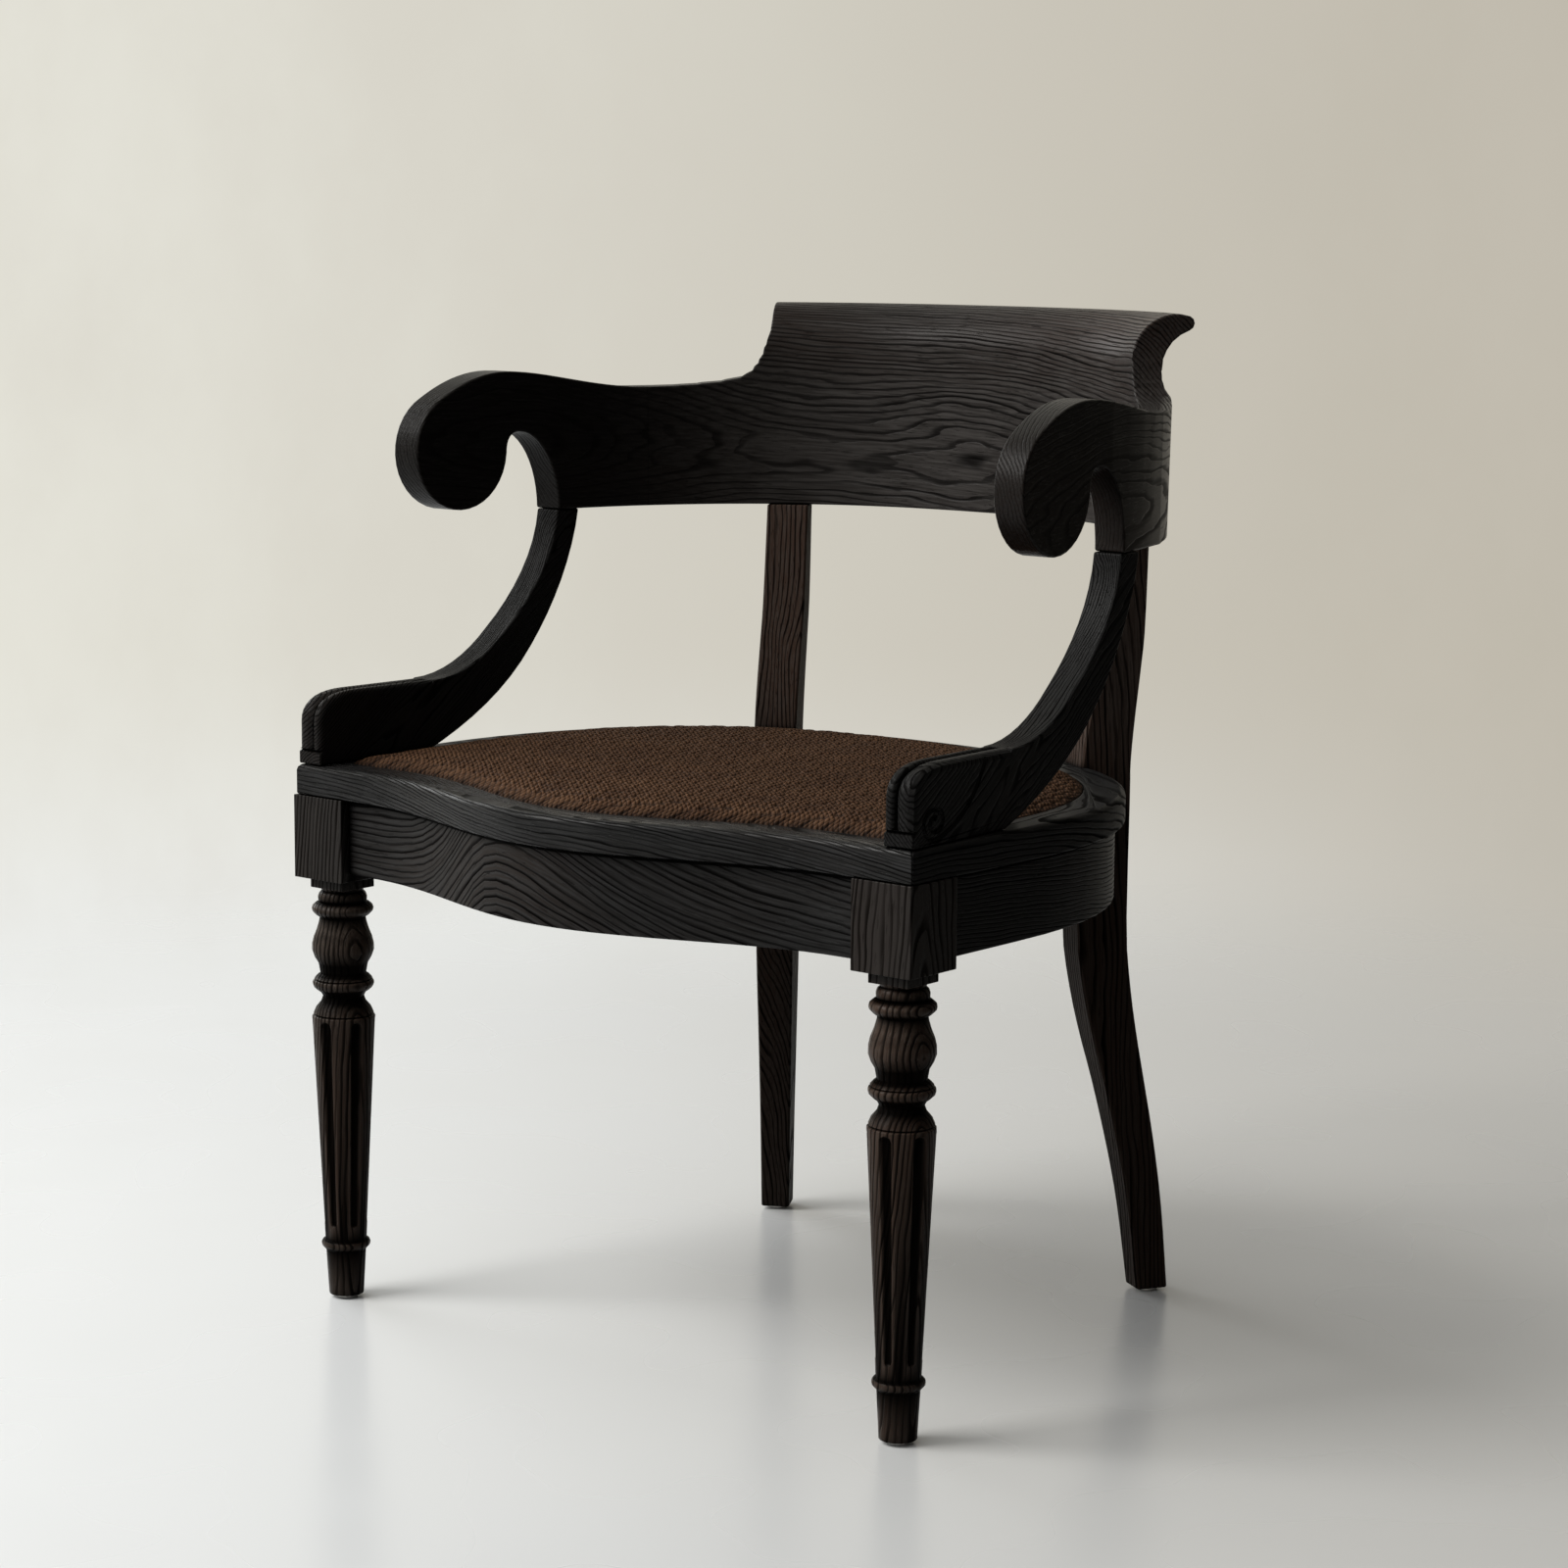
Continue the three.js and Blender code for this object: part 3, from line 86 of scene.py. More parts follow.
def make_camera():
    back = Vector((math.sin(AZIMUTH) * math.cos(PITCH),
                   -math.cos(AZIMUTH) * math.cos(PITCH),
                   math.sin(PITCH)))
    level = Vector(LEVEL)
    rise = back.cross(level)
    right = level * math.cos(ROLL) + rise * math.sin(ROLL)
    up = rise * math.cos(ROLL) - level * math.sin(ROLL)
    camera = bpy.data.objects.new("camera", bpy.data.cameras.new("camera"))
    camera.data.sensor_width = SENSOR
    camera.data.lens = SENSOR * FOCAL_SHARE
    turn = Matrix((right, up, back)).transposed().to_4x4()
    camera.matrix_world = Matrix.Translation(CAMERA_PLACE) @ turn
    scene.collection.objects.link(camera)
    scene.camera = camera


class Graph:
    """Shading written as calls: each call adds one node and returns its output."""

    def __init__(self, owner):
        owner.use_nodes = True
        self.owner = owner
        self.tree = owner.node_tree
        self.tree.nodes.clear()

    def node(self, kind, settings=None, **inputs):
        made = self.tree.nodes.new(kind)
        for key, value in (settings or {}).items():
            setattr(made, key, value)
        for key, value in inputs.items():
            numbered = key[0] == "i" and key[1:].isdigit()
            self.feed(made.inputs[int(key[1:]) if numbered else key.replace("_", " ")], value)
        return made

    def feed(self, socket, value):
        if isinstance(value, bpy.types.NodeSocket):
            self.tree.links.new(value, socket)
        elif isinstance(value, bpy.types.Node):
            self.tree.links.new(value.outputs[0], socket)
        else:
            socket.default_value = value

    def place(self):
        return self.node("ShaderNodeTexCoord").outputs["Object"]

    def height(self):
        return self.node("ShaderNodeSeparateXYZ", i0=self.place()).outputs["Z"]

    def attribute(self, name, output):
        return self.node("ShaderNodeAttribute", {"attribute_name": name}).outputs[output]

    def math(self, operation, a, b=0.0):
        return self.node("ShaderNodeMath", {"operation": operation}, i0=a, i1=b).outputs[0]

    def add(self, a, b):
        return self.math("ADD", a, b)

    def less(self, a, b):
        return self.math("SUBTRACT", a, b)

    def times(self, a, b):
        return self.math("MULTIPLY", a, b)

    def most(self, a, b):
        return self.math("MAXIMUM", a, b)

    def dot(self, a, b):
        made = self.node("ShaderNodeVectorMath", {"operation": "DOT_PRODUCT"}, i0=a, i1=b)
        return made.outputs["Value"]

    def span(self, value, low, high, to_low=0.0, to_high=1.0):
        return self.node("ShaderNodeMapRange", {"interpolation_type": "SMOOTHSTEP"},
                         i0=value, i1=low, i2=high, i3=to_low, i4=to_high).outputs[0]

    def noise(self, coordinates, scale=1.0, detail=2.0, roughness=0.5):
        made = self.node("ShaderNodeTexNoise", {"noise_dimensions": "3D"},
                         Vector=coordinates, Scale=scale, Detail=detail, Roughness=roughness)
        return made.outputs["Fac"]

    def stretched(self, coordinates, stretch, detail=2.0, roughness=0.5):
        """Noise with its own number of waves per metre in each direction."""
        scaled = self.node("ShaderNodeVectorMath", {"operation": "MULTIPLY"},
                           i0=coordinates, i1=stretch).outputs[0]
        return self.noise(scaled, detail=detail, roughness=roughness)

    def fate(self, number):
        """A repeatable share from 0 to 1 for each whole number."""
        made = self.node("ShaderNodeTexWhiteNoise", {"noise_dimensions": "1D"}, W=number)
        return made.outputs["Value"]

    def mix(self, share, a, b):
        return self.node("ShaderNodeMix", {"data_type": "RGBA"}, i0=share, i6=a, i7=b).outputs[2]

    def bump(self, height, distance, strength=1.0):
        return self.node("ShaderNodeBump", Strength=strength, Distance=distance, Height=height)

    def finish(self, shader, output="ShaderNodeOutputMaterial"):
        self.node(output, Surface=shader)
        return self.owner


def colour(red, green, blue):
    return (red, green, blue, 1.0)


# The figure of the wood. Stretches are waves per metre along, across and into the grain.
SLOW_STRETCH = (2.6, 15, 15)
WAVY_STRETCH = (11, 34, 34)
FINE_STRETCH = (26, 150, 150)
WAVY_REACH = 0.008           # how far the shorter waves bend a ring
FINE_REACH = 0.0014
LINE_FULL = 0.08             # a ring's dark line, in shares of the ring's width
LINE_HOLD = 0.18
LINE_END = 0.36
LINE_END_SPREAD = 0.28       # how much further the widest line reaches
LINE_STRENGTH = 0.72         # of the faintest ring
LINE_STRENGTH_SPREAD = 0.28
BREAK_STRETCH = (9, 120, 120)
BREAK_SPAN = (0.32, 0.52, 0.60, 1.0)
PORE_STRETCH = (55, 1100, 1100)
PORE_START = 0.64
PORE_END = 0.74
PORE_GAIN = 0.20             # more pores are open in a ring's dark line
PORE_DEPTH = 0.55
FIBRE_STRETCH = (20, 480, 480)
FIBRE_SPAN = (0.30, 0.74, 0.12, 0.80)
PATCH_STRETCH = (3.2, 9, 9)
PATCH_START = 0.42
PATCH_END = 0.72

# How painted shade (towards the yoke's ends and the floor, in crevices and hollows, under the
# rim) and the sheen change the figure.
YOKE_MIDDLE = 2.2            # where the middle of the back lies along the wood's own axis
YOKE_LIGHTEST = YOKE_MIDDLE + 0.04
YOKE_END_SHADE = (0.06, 0.42, 0.76)      # painted shade towards the yoke's ends: near, far, and how dark at last
YOKE_FAINT = 0.5             # what is left of the figure at the ends of the yoke
LEG_FOOT_SHADE = (0.20, 0.30, 0.20)       # painted shade low on a leg: low, high, and how dark below
STILE_FOOT_SHADE = (0.36, 0.50, 0.60)
HEAD_EDGE = 0.001
HEAD_SHARE = 0.8
# The colour of the painted shade in crevices, in hollows and under the rim.
WOOD_SHADE_TONE = colour(0.0006, 0.0005, 0.0004)
CREVICE_SHADE_SPAN = (0.46, 0.92)
CREVICE_SHADE_SAMPLES = 6
RIM_SHADOW_SPAN = (0.0040, 0.0030)       # the painted shadow under the rim, below the aprons' top
SHUT_SHADE_SHARE = 0.94
WOOD_RELIEF = 0.0006
FIBRE_RELIEF = 0.3
GROOVE_DULLNESS = 0.25
FIBRE_DULLNESS = 0.12
GROOVE_DIMMING = 0.9


def ring_radius(g, grain, across, deep, waver):
    """The distance from the pith, bent by long, short and fine waves."""
    radius = g.math("SQRT", g.add(g.times(across, across), g.times(deep, deep)))
    waves = ((SLOW_STRETCH, waver), (WAVY_STRETCH, WAVY_REACH), (FINE_STRETCH, FINE_REACH))
    for stretch, reach in waves:
        bend = g.less(g.stretched(grain, stretch), 0.5)
        radius = g.add(radius, g.times(bend, reach))
    return radius


def ring_lines(g, grain, radius, spacing):
    """One dark line a ring, each with its own width and strength, broken along the grain."""
    phase = g.math("DIVIDE", radius, spacing)
    step = g.math("FRACT", phase)
    fate = g.fate(g.math("FLOOR", phase))
    rise = g.span(step, 0.0, LINE_FULL)
    end = g.add(LINE_END, g.times(fate, LINE_END_SPREAD))
    fall = g.span(step, LINE_HOLD, end, 1.0, 0.0)
    broken = g.span(g.stretched(grain, BREAK_STRETCH), *BREAK_SPAN)
    strength = g.add(LINE_STRENGTH, g.times(fate, LINE_STRENGTH_SPREAD))
    return g.times(g.times(rise, fall), g.times(broken, strength))


def open_grain(g, grain, lines):
    """The lines with the fine pores between them."""
    pores = g.stretched(grain, PORE_STRETCH, detail=1.0)
    pores = g.span(pores, g.less(PORE_START, g.times(lines, PORE_GAIN)), PORE_END)
    return g.most(lines, g.times(pores, PORE_DEPTH))


def wood_material(name, dark, light, warm, pore, roughness, spacing=0.0050, shine=0.065,
                  warmth=0.0, waver=0.034, crevice_shade=0.004, ends_shade=None, foot_shade=None,
                  head_tone=None, rim_shadow_height=None, grain_attribute=True):
    """Open-grained wood. Its rings run round the axis of the grain coordinates."""
    g = Graph(bpy.data.materials.new(name))
    grain = g.attribute("grain", "Vector") if grain_attribute else g.place()
    along, across, deep = g.node("ShaderNodeSeparateXYZ", i0=grain).outputs
    height = g.height()
    radius = ring_radius(g, grain, across, deep, waver)
    groove = open_grain(g, grain, ring_lines(g, grain, radius, spacing))
    fibre = g.stretched(grain, FIBRE_STRETCH, detail=3.0, roughness=0.6)
    patch = g.stretched(grain, PATCH_STRETCH, detail=1.0)
    ground = g.mix(g.span(patch, PATCH_START - warmth, PATCH_END - warmth), dark, warm)
    ground = g.mix(g.span(fibre, *FIBRE_SPAN), ground, light)
    # Painted shade towards the ends of the yoke, away from its lightest place.
    if ends_shade:
        near, far, depth = ends_shade
        away = g.math("ABSOLUTE", g.less(along, YOKE_LIGHTEST))
        ground = g.mix(g.span(away, near, far, 0.0, depth), ground, pore)
        groove = g.times(groove, g.span(away, near, far, 1.0, YOKE_FAINT))
    # Painted shade low on the legs, darkest nearest the floor.
    if foot_shade:
        low, high, depth = foot_shade
        ground = g.mix(g.span(height, low, high, depth, 0.0), ground, pore)
    if head_tone:
        above = g.span(height, HEAD_START, HEAD_START + HEAD_EDGE, 0.0, HEAD_SHARE)
        ground = g.mix(above, ground, head_tone)
    # Painted shade: in the hollows of the turned legs, in the throats of the arms' hooks and, on
    # the aprons, a painted shadow under the rim.
    closed = g.attribute("hollow", "Fac")
    if rim_shadow_height:
        start, full = RIM_SHADOW_SPAN
        closed = g.most(closed, g.span(height, rim_shadow_height - start, rim_shadow_height - full))
    # Painted shade in the crevices found by ambient occlusion, with the stain that gathers
    # there.
    occlusion = g.node("ShaderNodeAmbientOcclusion", {"samples": CREVICE_SHADE_SAMPLES},
                       Distance=crevice_shade)
    shade = g.mix(groove, ground, pore)
    shade = g.mix(g.span(occlusion.outputs["AO"], *CREVICE_SHADE_SPAN), WOOD_SHADE_TONE, shade)
    shade = g.mix(g.times(closed, SHUT_SHADE_SHARE), shade, WOOD_SHADE_TONE)
    relief = g.bump(g.less(g.times(fibre, FIBRE_RELIEF), groove), WOOD_RELIEF)
    dull = g.add(roughness, g.times(groove, GROOVE_DULLNESS))
    dull = g.add(dull, g.times(g.less(fibre, 0.5), FIBRE_DULLNESS))
    # The sheen is dimmed in the grooves and under the painted shade.
    shut = g.times(g.most(groove, closed), GROOVE_DIMMING)
    level = g.times(g.less(1.0, shut), shine)
    return g.finish(g.node("ShaderNodeBsdfPrincipled", Base_Color=shade, Roughness=dull,
                           Specular_IOR_Level=level, Normal=relief))


BLACK_PORE = colour(0.0008, 0.0006, 0.0005)
WOODS = {
    "stained_wood": dict(
        dark=colour(0.0074, 0.0071, 0.0069), light=colour(0.0310, 0.0302, 0.0298),
        warm=colour(0.0170, 0.0116, 0.0090), pore=BLACK_PORE, roughness=0.34,
        spacing=0.0056, crevice_shade=0.009, rim_shadow_height=APRON_TOP),
    # Darker than the stained wood: painted shade on the side aprons.
    "stained_wood_side_aprons": dict(
        dark=colour(0.0060, 0.0057, 0.0055), light=colour(0.0200, 0.0195, 0.0192),
        warm=colour(0.0120, 0.0086, 0.0068), pore=colour(0.0018, 0.0017, 0.0016),
        roughness=0.40, spacing=0.0032, shine=0.05, waver=0.018, crevice_shade=0.009,
        rim_shadow_height=APRON_TOP),
    # Lighter than the other stained wood: painted light on the back panel and the arms.
    "stained_wood_yoke": dict(
        dark=colour(0.0150, 0.0125, 0.0112), light=colour(0.055, 0.050, 0.0465),
        warm=colour(0.0360, 0.0220, 0.0165), pore=BLACK_PORE, roughness=0.32,
        spacing=0.0034, shine=0.08, waver=0.021, crevice_shade=0.026, ends_shade=YOKE_END_SHADE),
    "stained_wood_legs": dict(
        dark=colour(0.0150, 0.0113, 0.0090), light=colour(0.068, 0.0520, 0.0415),
        warm=colour(0.0450, 0.0240, 0.0155), pore=colour(0.0044, 0.0034, 0.0027),
        roughness=0.32, spacing=0.0044, shine=0.08, warmth=0.06, crevice_shade=0.014,
        foot_shade=LEG_FOOT_SHADE, head_tone=colour(0.0170, 0.0162, 0.0156)),
    "stained_wood_stiles": dict(
        dark=colour(0.0200, 0.0155, 0.0130), light=colour(0.068, 0.0530, 0.0440),
        warm=colour(0.0460, 0.0255, 0.0175), pore=colour(0.0016, 0.0011, 0.0008),
        roughness=0.50, spacing=0.0036, shine=0.04, warmth=0.06, crevice_shade=0.008,
        foot_shade=STILE_FOOT_SHADE),
    "stained_wood_rim": dict(
        dark=colour(0.0036, 0.0035, 0.0034), light=colour(0.0300, 0.0297, 0.0297),
        warm=colour(0.0160, 0.0118, 0.0096), pore=BLACK_PORE, roughness=0.27,
        spacing=0.0028, shine=0.13, crevice_shade=0.006),
    # Darker than the stained wood: painted shade on the side rims.
    "stained_wood_side_rims": dict(
        dark=colour(0.0076, 0.0074, 0.0072), light=colour(0.0190, 0.0188, 0.0188),
        warm=colour(0.0110, 0.0090, 0.0078), pore=colour(0.0016, 0.0015, 0.0014),
        roughness=0.46, spacing=0.0036, shine=0.05, waver=0.018, crevice_shade=0.006),
    "stained_wood_supports": dict(
        dark=colour(0.0064, 0.0062, 0.0060), light=colour(0.0190, 0.0185, 0.0180),
        warm=colour(0.0125, 0.0086, 0.0068), pore=colour(0.0026, 0.0024, 0.0022),
        roughness=0.38, spacing=0.0022, shine=0.055, crevice_shade=0.010),
    "inner_wood": dict(
        dark=colour(0.20, 0.13, 0.08), light=colour(0.30, 0.20, 0.12),
        warm=colour(0.24, 0.145, 0.08), pore=colour(0.10, 0.055, 0.03),
        roughness=0.62, grain_attribute=False),
}

STEELS = {
    "glide_steel": dict(tone=(0.45, 0.44, 0.43), roughness=0.42, marks=(60, 60, 900)),
    "fastener_steel": dict(tone=(0.5, 0.5, 0.5), roughness=0.36, marks=(300, 300, 300)),
}
STEEL_SHADE = 0.62           # how dark the streaks are beside the clean steel
TARNISH = colour(0.11, 0.085, 0.07)
TARNISH_SPAN = (0.58, 0.72)
TARNISH_SHARE = 0.5
TARNISH_WAVES = 420.0
STREAK_SPAN = (0.3, 0.7)
STREAK_DULLNESS = 0.2
STEEL_RELIEF = 0.0001
STEEL_RELIEF_STRENGTH = 0.5


def steel_material(name, tone, roughness, marks):
    """Pressed or turned steel with faint circular and straight marks."""
    g = Graph(bpy.data.materials.new(name))
    place = g.place()
    streaks = g.stretched(place, marks, detail=4.0, roughness=0.6)
    spots = g.span(g.noise(place, scale=TARNISH_WAVES), *TARNISH_SPAN)
    shaded = colour(*(share * STEEL_SHADE for share in tone))
    shade = g.mix(g.span(streaks, *STREAK_SPAN), shaded, colour(*tone))
    shade = g.mix(g.times(spots, TARNISH_SHARE), shade, TARNISH)
    relief = g.bump(streaks, STEEL_RELIEF, STEEL_RELIEF_STRENGTH)
    dull = g.add(roughness, g.times(g.less(streaks, 0.5), STREAK_DULLNESS))
    return g.finish(g.node("ShaderNodeBsdfPrincipled", Base_Color=shade, Metallic=1.0,
                           Roughness=dull, Normal=relief))


def front_edge(x):
    """The Y of the front edge at each place across the seat, in the frame of the plan."""
    share = np.minimum(np.abs(x) / (FRONT_BOW_SHARE * SEAT_HALF_WIDTH), 1)
    return FRONT_Y - FRONT_BOW * np.cos(share * np.pi / 2) ** 2


def seat_bar_grain(place):
    """Along the seat ring: the side bars run straight and then round the back."""
    x, y, z = place
    y = y - PLAN_SHIFT
    if y < SEAT_CENTRE_Y:
        along, out = y - SEAT_CENTRE_Y, abs(x)
    else:
        turn = math.atan2(y - SEAT_CENTRE_Y, abs(x))
        along, out = SEAT_HALF_WIDTH * turn, math.hypot(x, y - SEAT_CENTRE_Y)
    return along, z - SEAT_HEIGHT, out - SEAT_HALF_WIDTH


def back_ring_grain(place):
    x, y, z = place
    y = y - PLAN_SHIFT - SEAT_CENTRE_Y
    turn = math.atan2(x, max(y, TOUCHING))
    return SEAT_HALF_WIDTH * turn, z - SEAT_HEIGHT, math.hypot(x, y) - SEAT_HALF_WIDTH


def front_bar_grain(place):
    x, y, z = place
    return x, z - SEAT_HEIGHT, y - PLAN_SHIFT - float(front_edge(x))


HUMP_PLACE = -0.050
HUMP_LEFT = 0.075            # how wide the hump is on its left and on its right
HUMP_RIGHT = 0.150
HUMP_HEIGHT = 0.085


def front_apron_grain(place):
    """The rings rise over a hump on the left and then run down to the right."""
    along, across, deep = front_bar_grain(place)
    away = along - HUMP_PLACE
    reach = HUMP_LEFT if away < 0 else HUMP_RIGHT
    return along, across - HUMP_HEIGHT * math.exp(-(away / reach) ** 2), deep


def yoke_grain(place):
    """Along the bent wall, from one arm's hook round the back to the other's."""
    x, y, z = place
    y = y - PLAN_SHIFT - YOKE_CENTRE_Y
    if y < 0:
        along = math.copysign(YOKE_HALF_WIDTH * math.pi / 2 - y, x)
        return along, z - YOKE_HEIGHT, abs(x) - YOKE_HALF_WIDTH
    turn = math.atan2(x, y)
    return YOKE_HALF_WIDTH * turn, z - YOKE_HEIGHT, math.hypot(x, y) - YOKE_HALF_WIDTH


SUPPORT_SLOPE = math.radians(38)


def support_grain(place):
    """Along the slope of the arm support."""
    x, y, z = place
    y = y - PLAN_SHIFT
    z = z - SEAT_HEIGHT
    c, s = math.cos(SUPPORT_SLOPE), math.sin(SUPPORT_SLOPE)
    return c * y + s * z, c * z - s * y, abs(x) - SEAT_HALF_WIDTH


def upright_grain(centre, heading):
    """Up a leg that stands at a place in the plan."""
    c, s = math.cos(heading), math.sin(heading)

    def grain(place):
        x, y = place[0] - centre[0], place[1] - centre[1]
        return place[2], c * x + s * y, c * y - s * x
    return grain


WELD_REACH = 2e-5
FLAT_ANGLE = math.radians(0.4)
CORNER_ANGLE = math.radians(34)
ROOM_SHARE = 2.5             # a face beside a rounded corner is wider than this many roundings
STRAY_SHARE = 0.55           # a rounding lies no further than this share of it from the shape
SKIN = 1e-5
ROUNDING_STEPS = 3


def copied_mesh(node):
    """The node's own shape as one welded mesh, its flat faces whole again."""
    mesh = nodes[node].data.copy()
    bm = bmesh.new()
    bm.from_mesh(mesh)
    bmesh.ops.remove_doubles(bm, verts=bm.verts, dist=WELD_REACH)
    bmesh.ops.dissolve_limit(bm, angle_limit=FLAT_ANGLE, verts=bm.verts, edges=bm.edges)
    for face in bm.faces:
        face.smooth = True
    bm.to_mesh(mesh)
    bm.free()
    return mesh


def reach_from(face, edge):
    """How far a face reaches from one of its edges."""
    start = edge.verts[0].co
    line = (edge.verts[1].co - start).normalized()
    return max((v.co - start - line * line.dot(v.co - start)).length for v in face.verts)


def rounded_mesh(mesh, width, keep_sharp):
    """Rounds the outward corners that have room for it, and keeps every point on the shape."""
    bm = bmesh.new()
    bm.from_mesh(mesh)
    surface = BVHTree.FromBMesh(bm)
    layer = bm.edges.layers.float.new("bevel_weight_edge")
    for edge in bm.edges:
        if len(edge.link_faces) != 2 or not edge.is_convex:
            continue
        middle = (edge.verts[0].co + edge.verts[1].co) / 2
        if edge.calc_face_angle() < CORNER_ANGLE or keep_sharp(middle):
            continue
        if min(reach_from(face, edge) for face in edge.link_faces) > ROOM_SHARE * width:
            edge[layer] = 1.0
    bm.to_mesh(mesh)
    bm.free()
    worker = bpy.data.objects.new("worker", mesh)
    scene.collection.objects.link(worker)
    bevel = worker.modifiers.new("rounded_edges", "BEVEL")
    bevel.width = width
    bevel.segments = ROUNDING_STEPS
    bevel.limit_method = "WEIGHT"
    bevel.use_clamp_overlap = False
    shown = worker.evaluated_get(bpy.context.evaluated_depsgraph_get())
    made = bpy.data.meshes.new_from_object(shown)
    bpy.data.objects.remove(worker)
    for vertex in made.vertices:
        nearest, normal, _, distance = surface.find_nearest(vertex.co)
        if distance > STRAY_SHARE * width or (vertex.co - nearest).dot(normal) > SKIN:
            vertex.co = nearest
    return made


def smooth_by_face(mesh):
    """Smooth shading that leaves corners crisp and large faces flat."""
    sharp = mesh.attributes.get("sharp_edge")
    sharp = sharp or mesh.attributes.new("sharp_edge", "BOOLEAN", "EDGE")
    bm = bmesh.new()
    bm.from_mesh(mesh)
    values = [len(e.link_faces) != 2 or e.calc_face_angle() > CORNER_ANGLE for e in bm.edges]
    bm.free()
    sharp.data.foreach_set("value", values)


def write_grain(mesh, grain, offset, tilt):
    """Stores the wood's own coordinates, shifted and tilted so that no two pieces match."""
    layer = mesh.attributes.new("grain", "FLOAT_VECTOR", "POINT")
    values = []
    for vertex in mesh.vertices:
        along, across, deep = grain(vertex.co)
        values.extend((along + offset[0],
                       across + offset[1] + tilt[0] * along,
                       deep + offset[2] + tilt[1] * along))
    layer.data.foreach_set("vector", values)


def write_painted_shade(mesh, values):
    """Stores the painted shade of each point: how far it is shut in, from 0 in the open to 1 in
    the dark.
    """
    layer = mesh.attributes.new("hollow", "FLOAT", "POINT")
    layer.data.foreach_set("value", np.clip(values, 0, 1).astype(np.float32))


HOLLOW_REACH = 0.006         # how far up and down the widest ring nearby is looked for
BEAD_SPAN = (0.0006, 0.0030)        # how deep a hollow is where its painted shade starts and where it is fully dark
FLUTE_SPAN = (0.0003, 0.0012)
FLUTED_TOP = 0.237           # below here the hollows are flutes, painted dark from edge to edge


def write_turned_leg_shade(mesh, centre):
    """A turned leg gets painted shade, with the dirt of its hollows, where it lies well inside
    the widest ring near its height.
    """
    places = np.array([vertex.co for vertex in mesh.vertices])
    radii = np.hypot(places[:, 0] - centre[0], places[:, 1] - centre[1])
    heights = places[:, 2]
    turned = heights < HEAD_START - TOUCHING
    depth = np.zeros(len(places))
    for index in np.flatnonzero(turned):
        near = turned & (np.abs(heights - heights[index]) < HOLLOW_REACH)
        depth[index] = radii[near].max() - radii[index]
    beads, flutes = ((depth - start) / (full - start) for start, full in (BEAD_SPAN, FLUTE_SPAN))
    write_painted_shade(mesh, np.where(heights < FLUTED_TOP, flutes, beads))


THROAT_REACH = 0.080
THROAT_TURNS = [math.radians(turn) for turn in range(-75, 76, 15)]
THROAT_START = 0.30          # the share of ways out that are shut where the painted shade starts
THROAT_RANGE = 0.35
SIDEWAYS = 0.8               # a normal with more of X than this belongs to a side face
RAY_LIFT = 0.0005


def write_throat_shade(mesh):
    """An arm's edge gets painted shade where its own hook shuts it in, seen from the side."""
    bm = bmesh.new()
    bm.from_mesh(mesh)
    surface = BVHTree.FromBMesh(bm)
    bm.free()
    values = np.zeros(len(mesh.vertices))
    for index, vertex in enumerate(mesh.vertices):
        out = vertex.normal
        if abs(out.x) > SIDEWAYS:
            continue
        heading = math.atan2(out.z, out.y)
        start = vertex.co + out * RAY_LIFT
        met = 0
        for turn in THROAT_TURNS:
            way = Vector((0, math.cos(heading + turn), math.sin(heading + turn)))
            met += surface.ray_cast(start, way, THROAT_REACH)[0] is not None
        values[index] = (met / len(THROAT_TURNS) - THROAT_START) / THROAT_RANGE
    write_painted_shade(mesh, values)


# What each kind of piece is made of, where it lies in its log and how its grain is tilted
# there, and how wide its edges are rounded.
Kind = namedtuple("Kind", ("wood", "offset", "tilt", "rounding"))
KINDS = {
    "arm": Kind("stained_wood_yoke", (YOKE_MIDDLE, 0.02, 0.06), (0.05, 0.03), 0.0020),
    "back_panel": Kind("stained_wood_yoke", (YOKE_MIDDLE, 0.02, 0.06), (0.05, 0.03), 0.0018),
    "arm_support": Kind("stained_wood_supports", (0.3, 0.02, 0.05), (0, 0.03), 0.0018),
    "side_apron": Kind("stained_wood_side_aprons", (0.6, 0.17, 0.05), (0.05, 0.02), 0.0022),
    "side_rim": Kind("stained_wood_side_rims", (0.7, 0.055, 0.03), (0.03, 0.02), 0.0018),
    "back_rim": Kind("stained_wood_side_rims", (1.8, 0.03, 0.05), (0.02, 0.02), 0.0012),
    "front_rim": Kind("stained_wood_rim", (0.5, 0.09, 0.05), (0.10, 0.03), 0.0018),
    "front_leg": Kind("stained_wood_legs", (0, -0.010, 0.0015), (-0.10, 0.03), 0.0007),
    "rear_leg": Kind("stained_wood_stiles", (0.4, 0.04, 0.005), (0.05, 0.03), 0.0012),
    "front_apron": Kind("stained_wood", (0.2, 0.23, 0.02), (0, 0.04), 0.0012),
    "back_apron": Kind("stained_wood", (1.5, 0.05, 0.04), (0.03, 0.02), 0.0012),
}
SIDE_SHIFT = 0.9             # left and right pieces come from different stretches of the log
REAR_LEG_SHIFT = -0.025      # and the rear legs from different depths
REAR_LEG_TURN = math.radians(31)


def nowhere(point):
    return False


def at_yoke_joint(point):
    return abs(point.y - YOKE_JOINT_Y) < JOINT_REACH


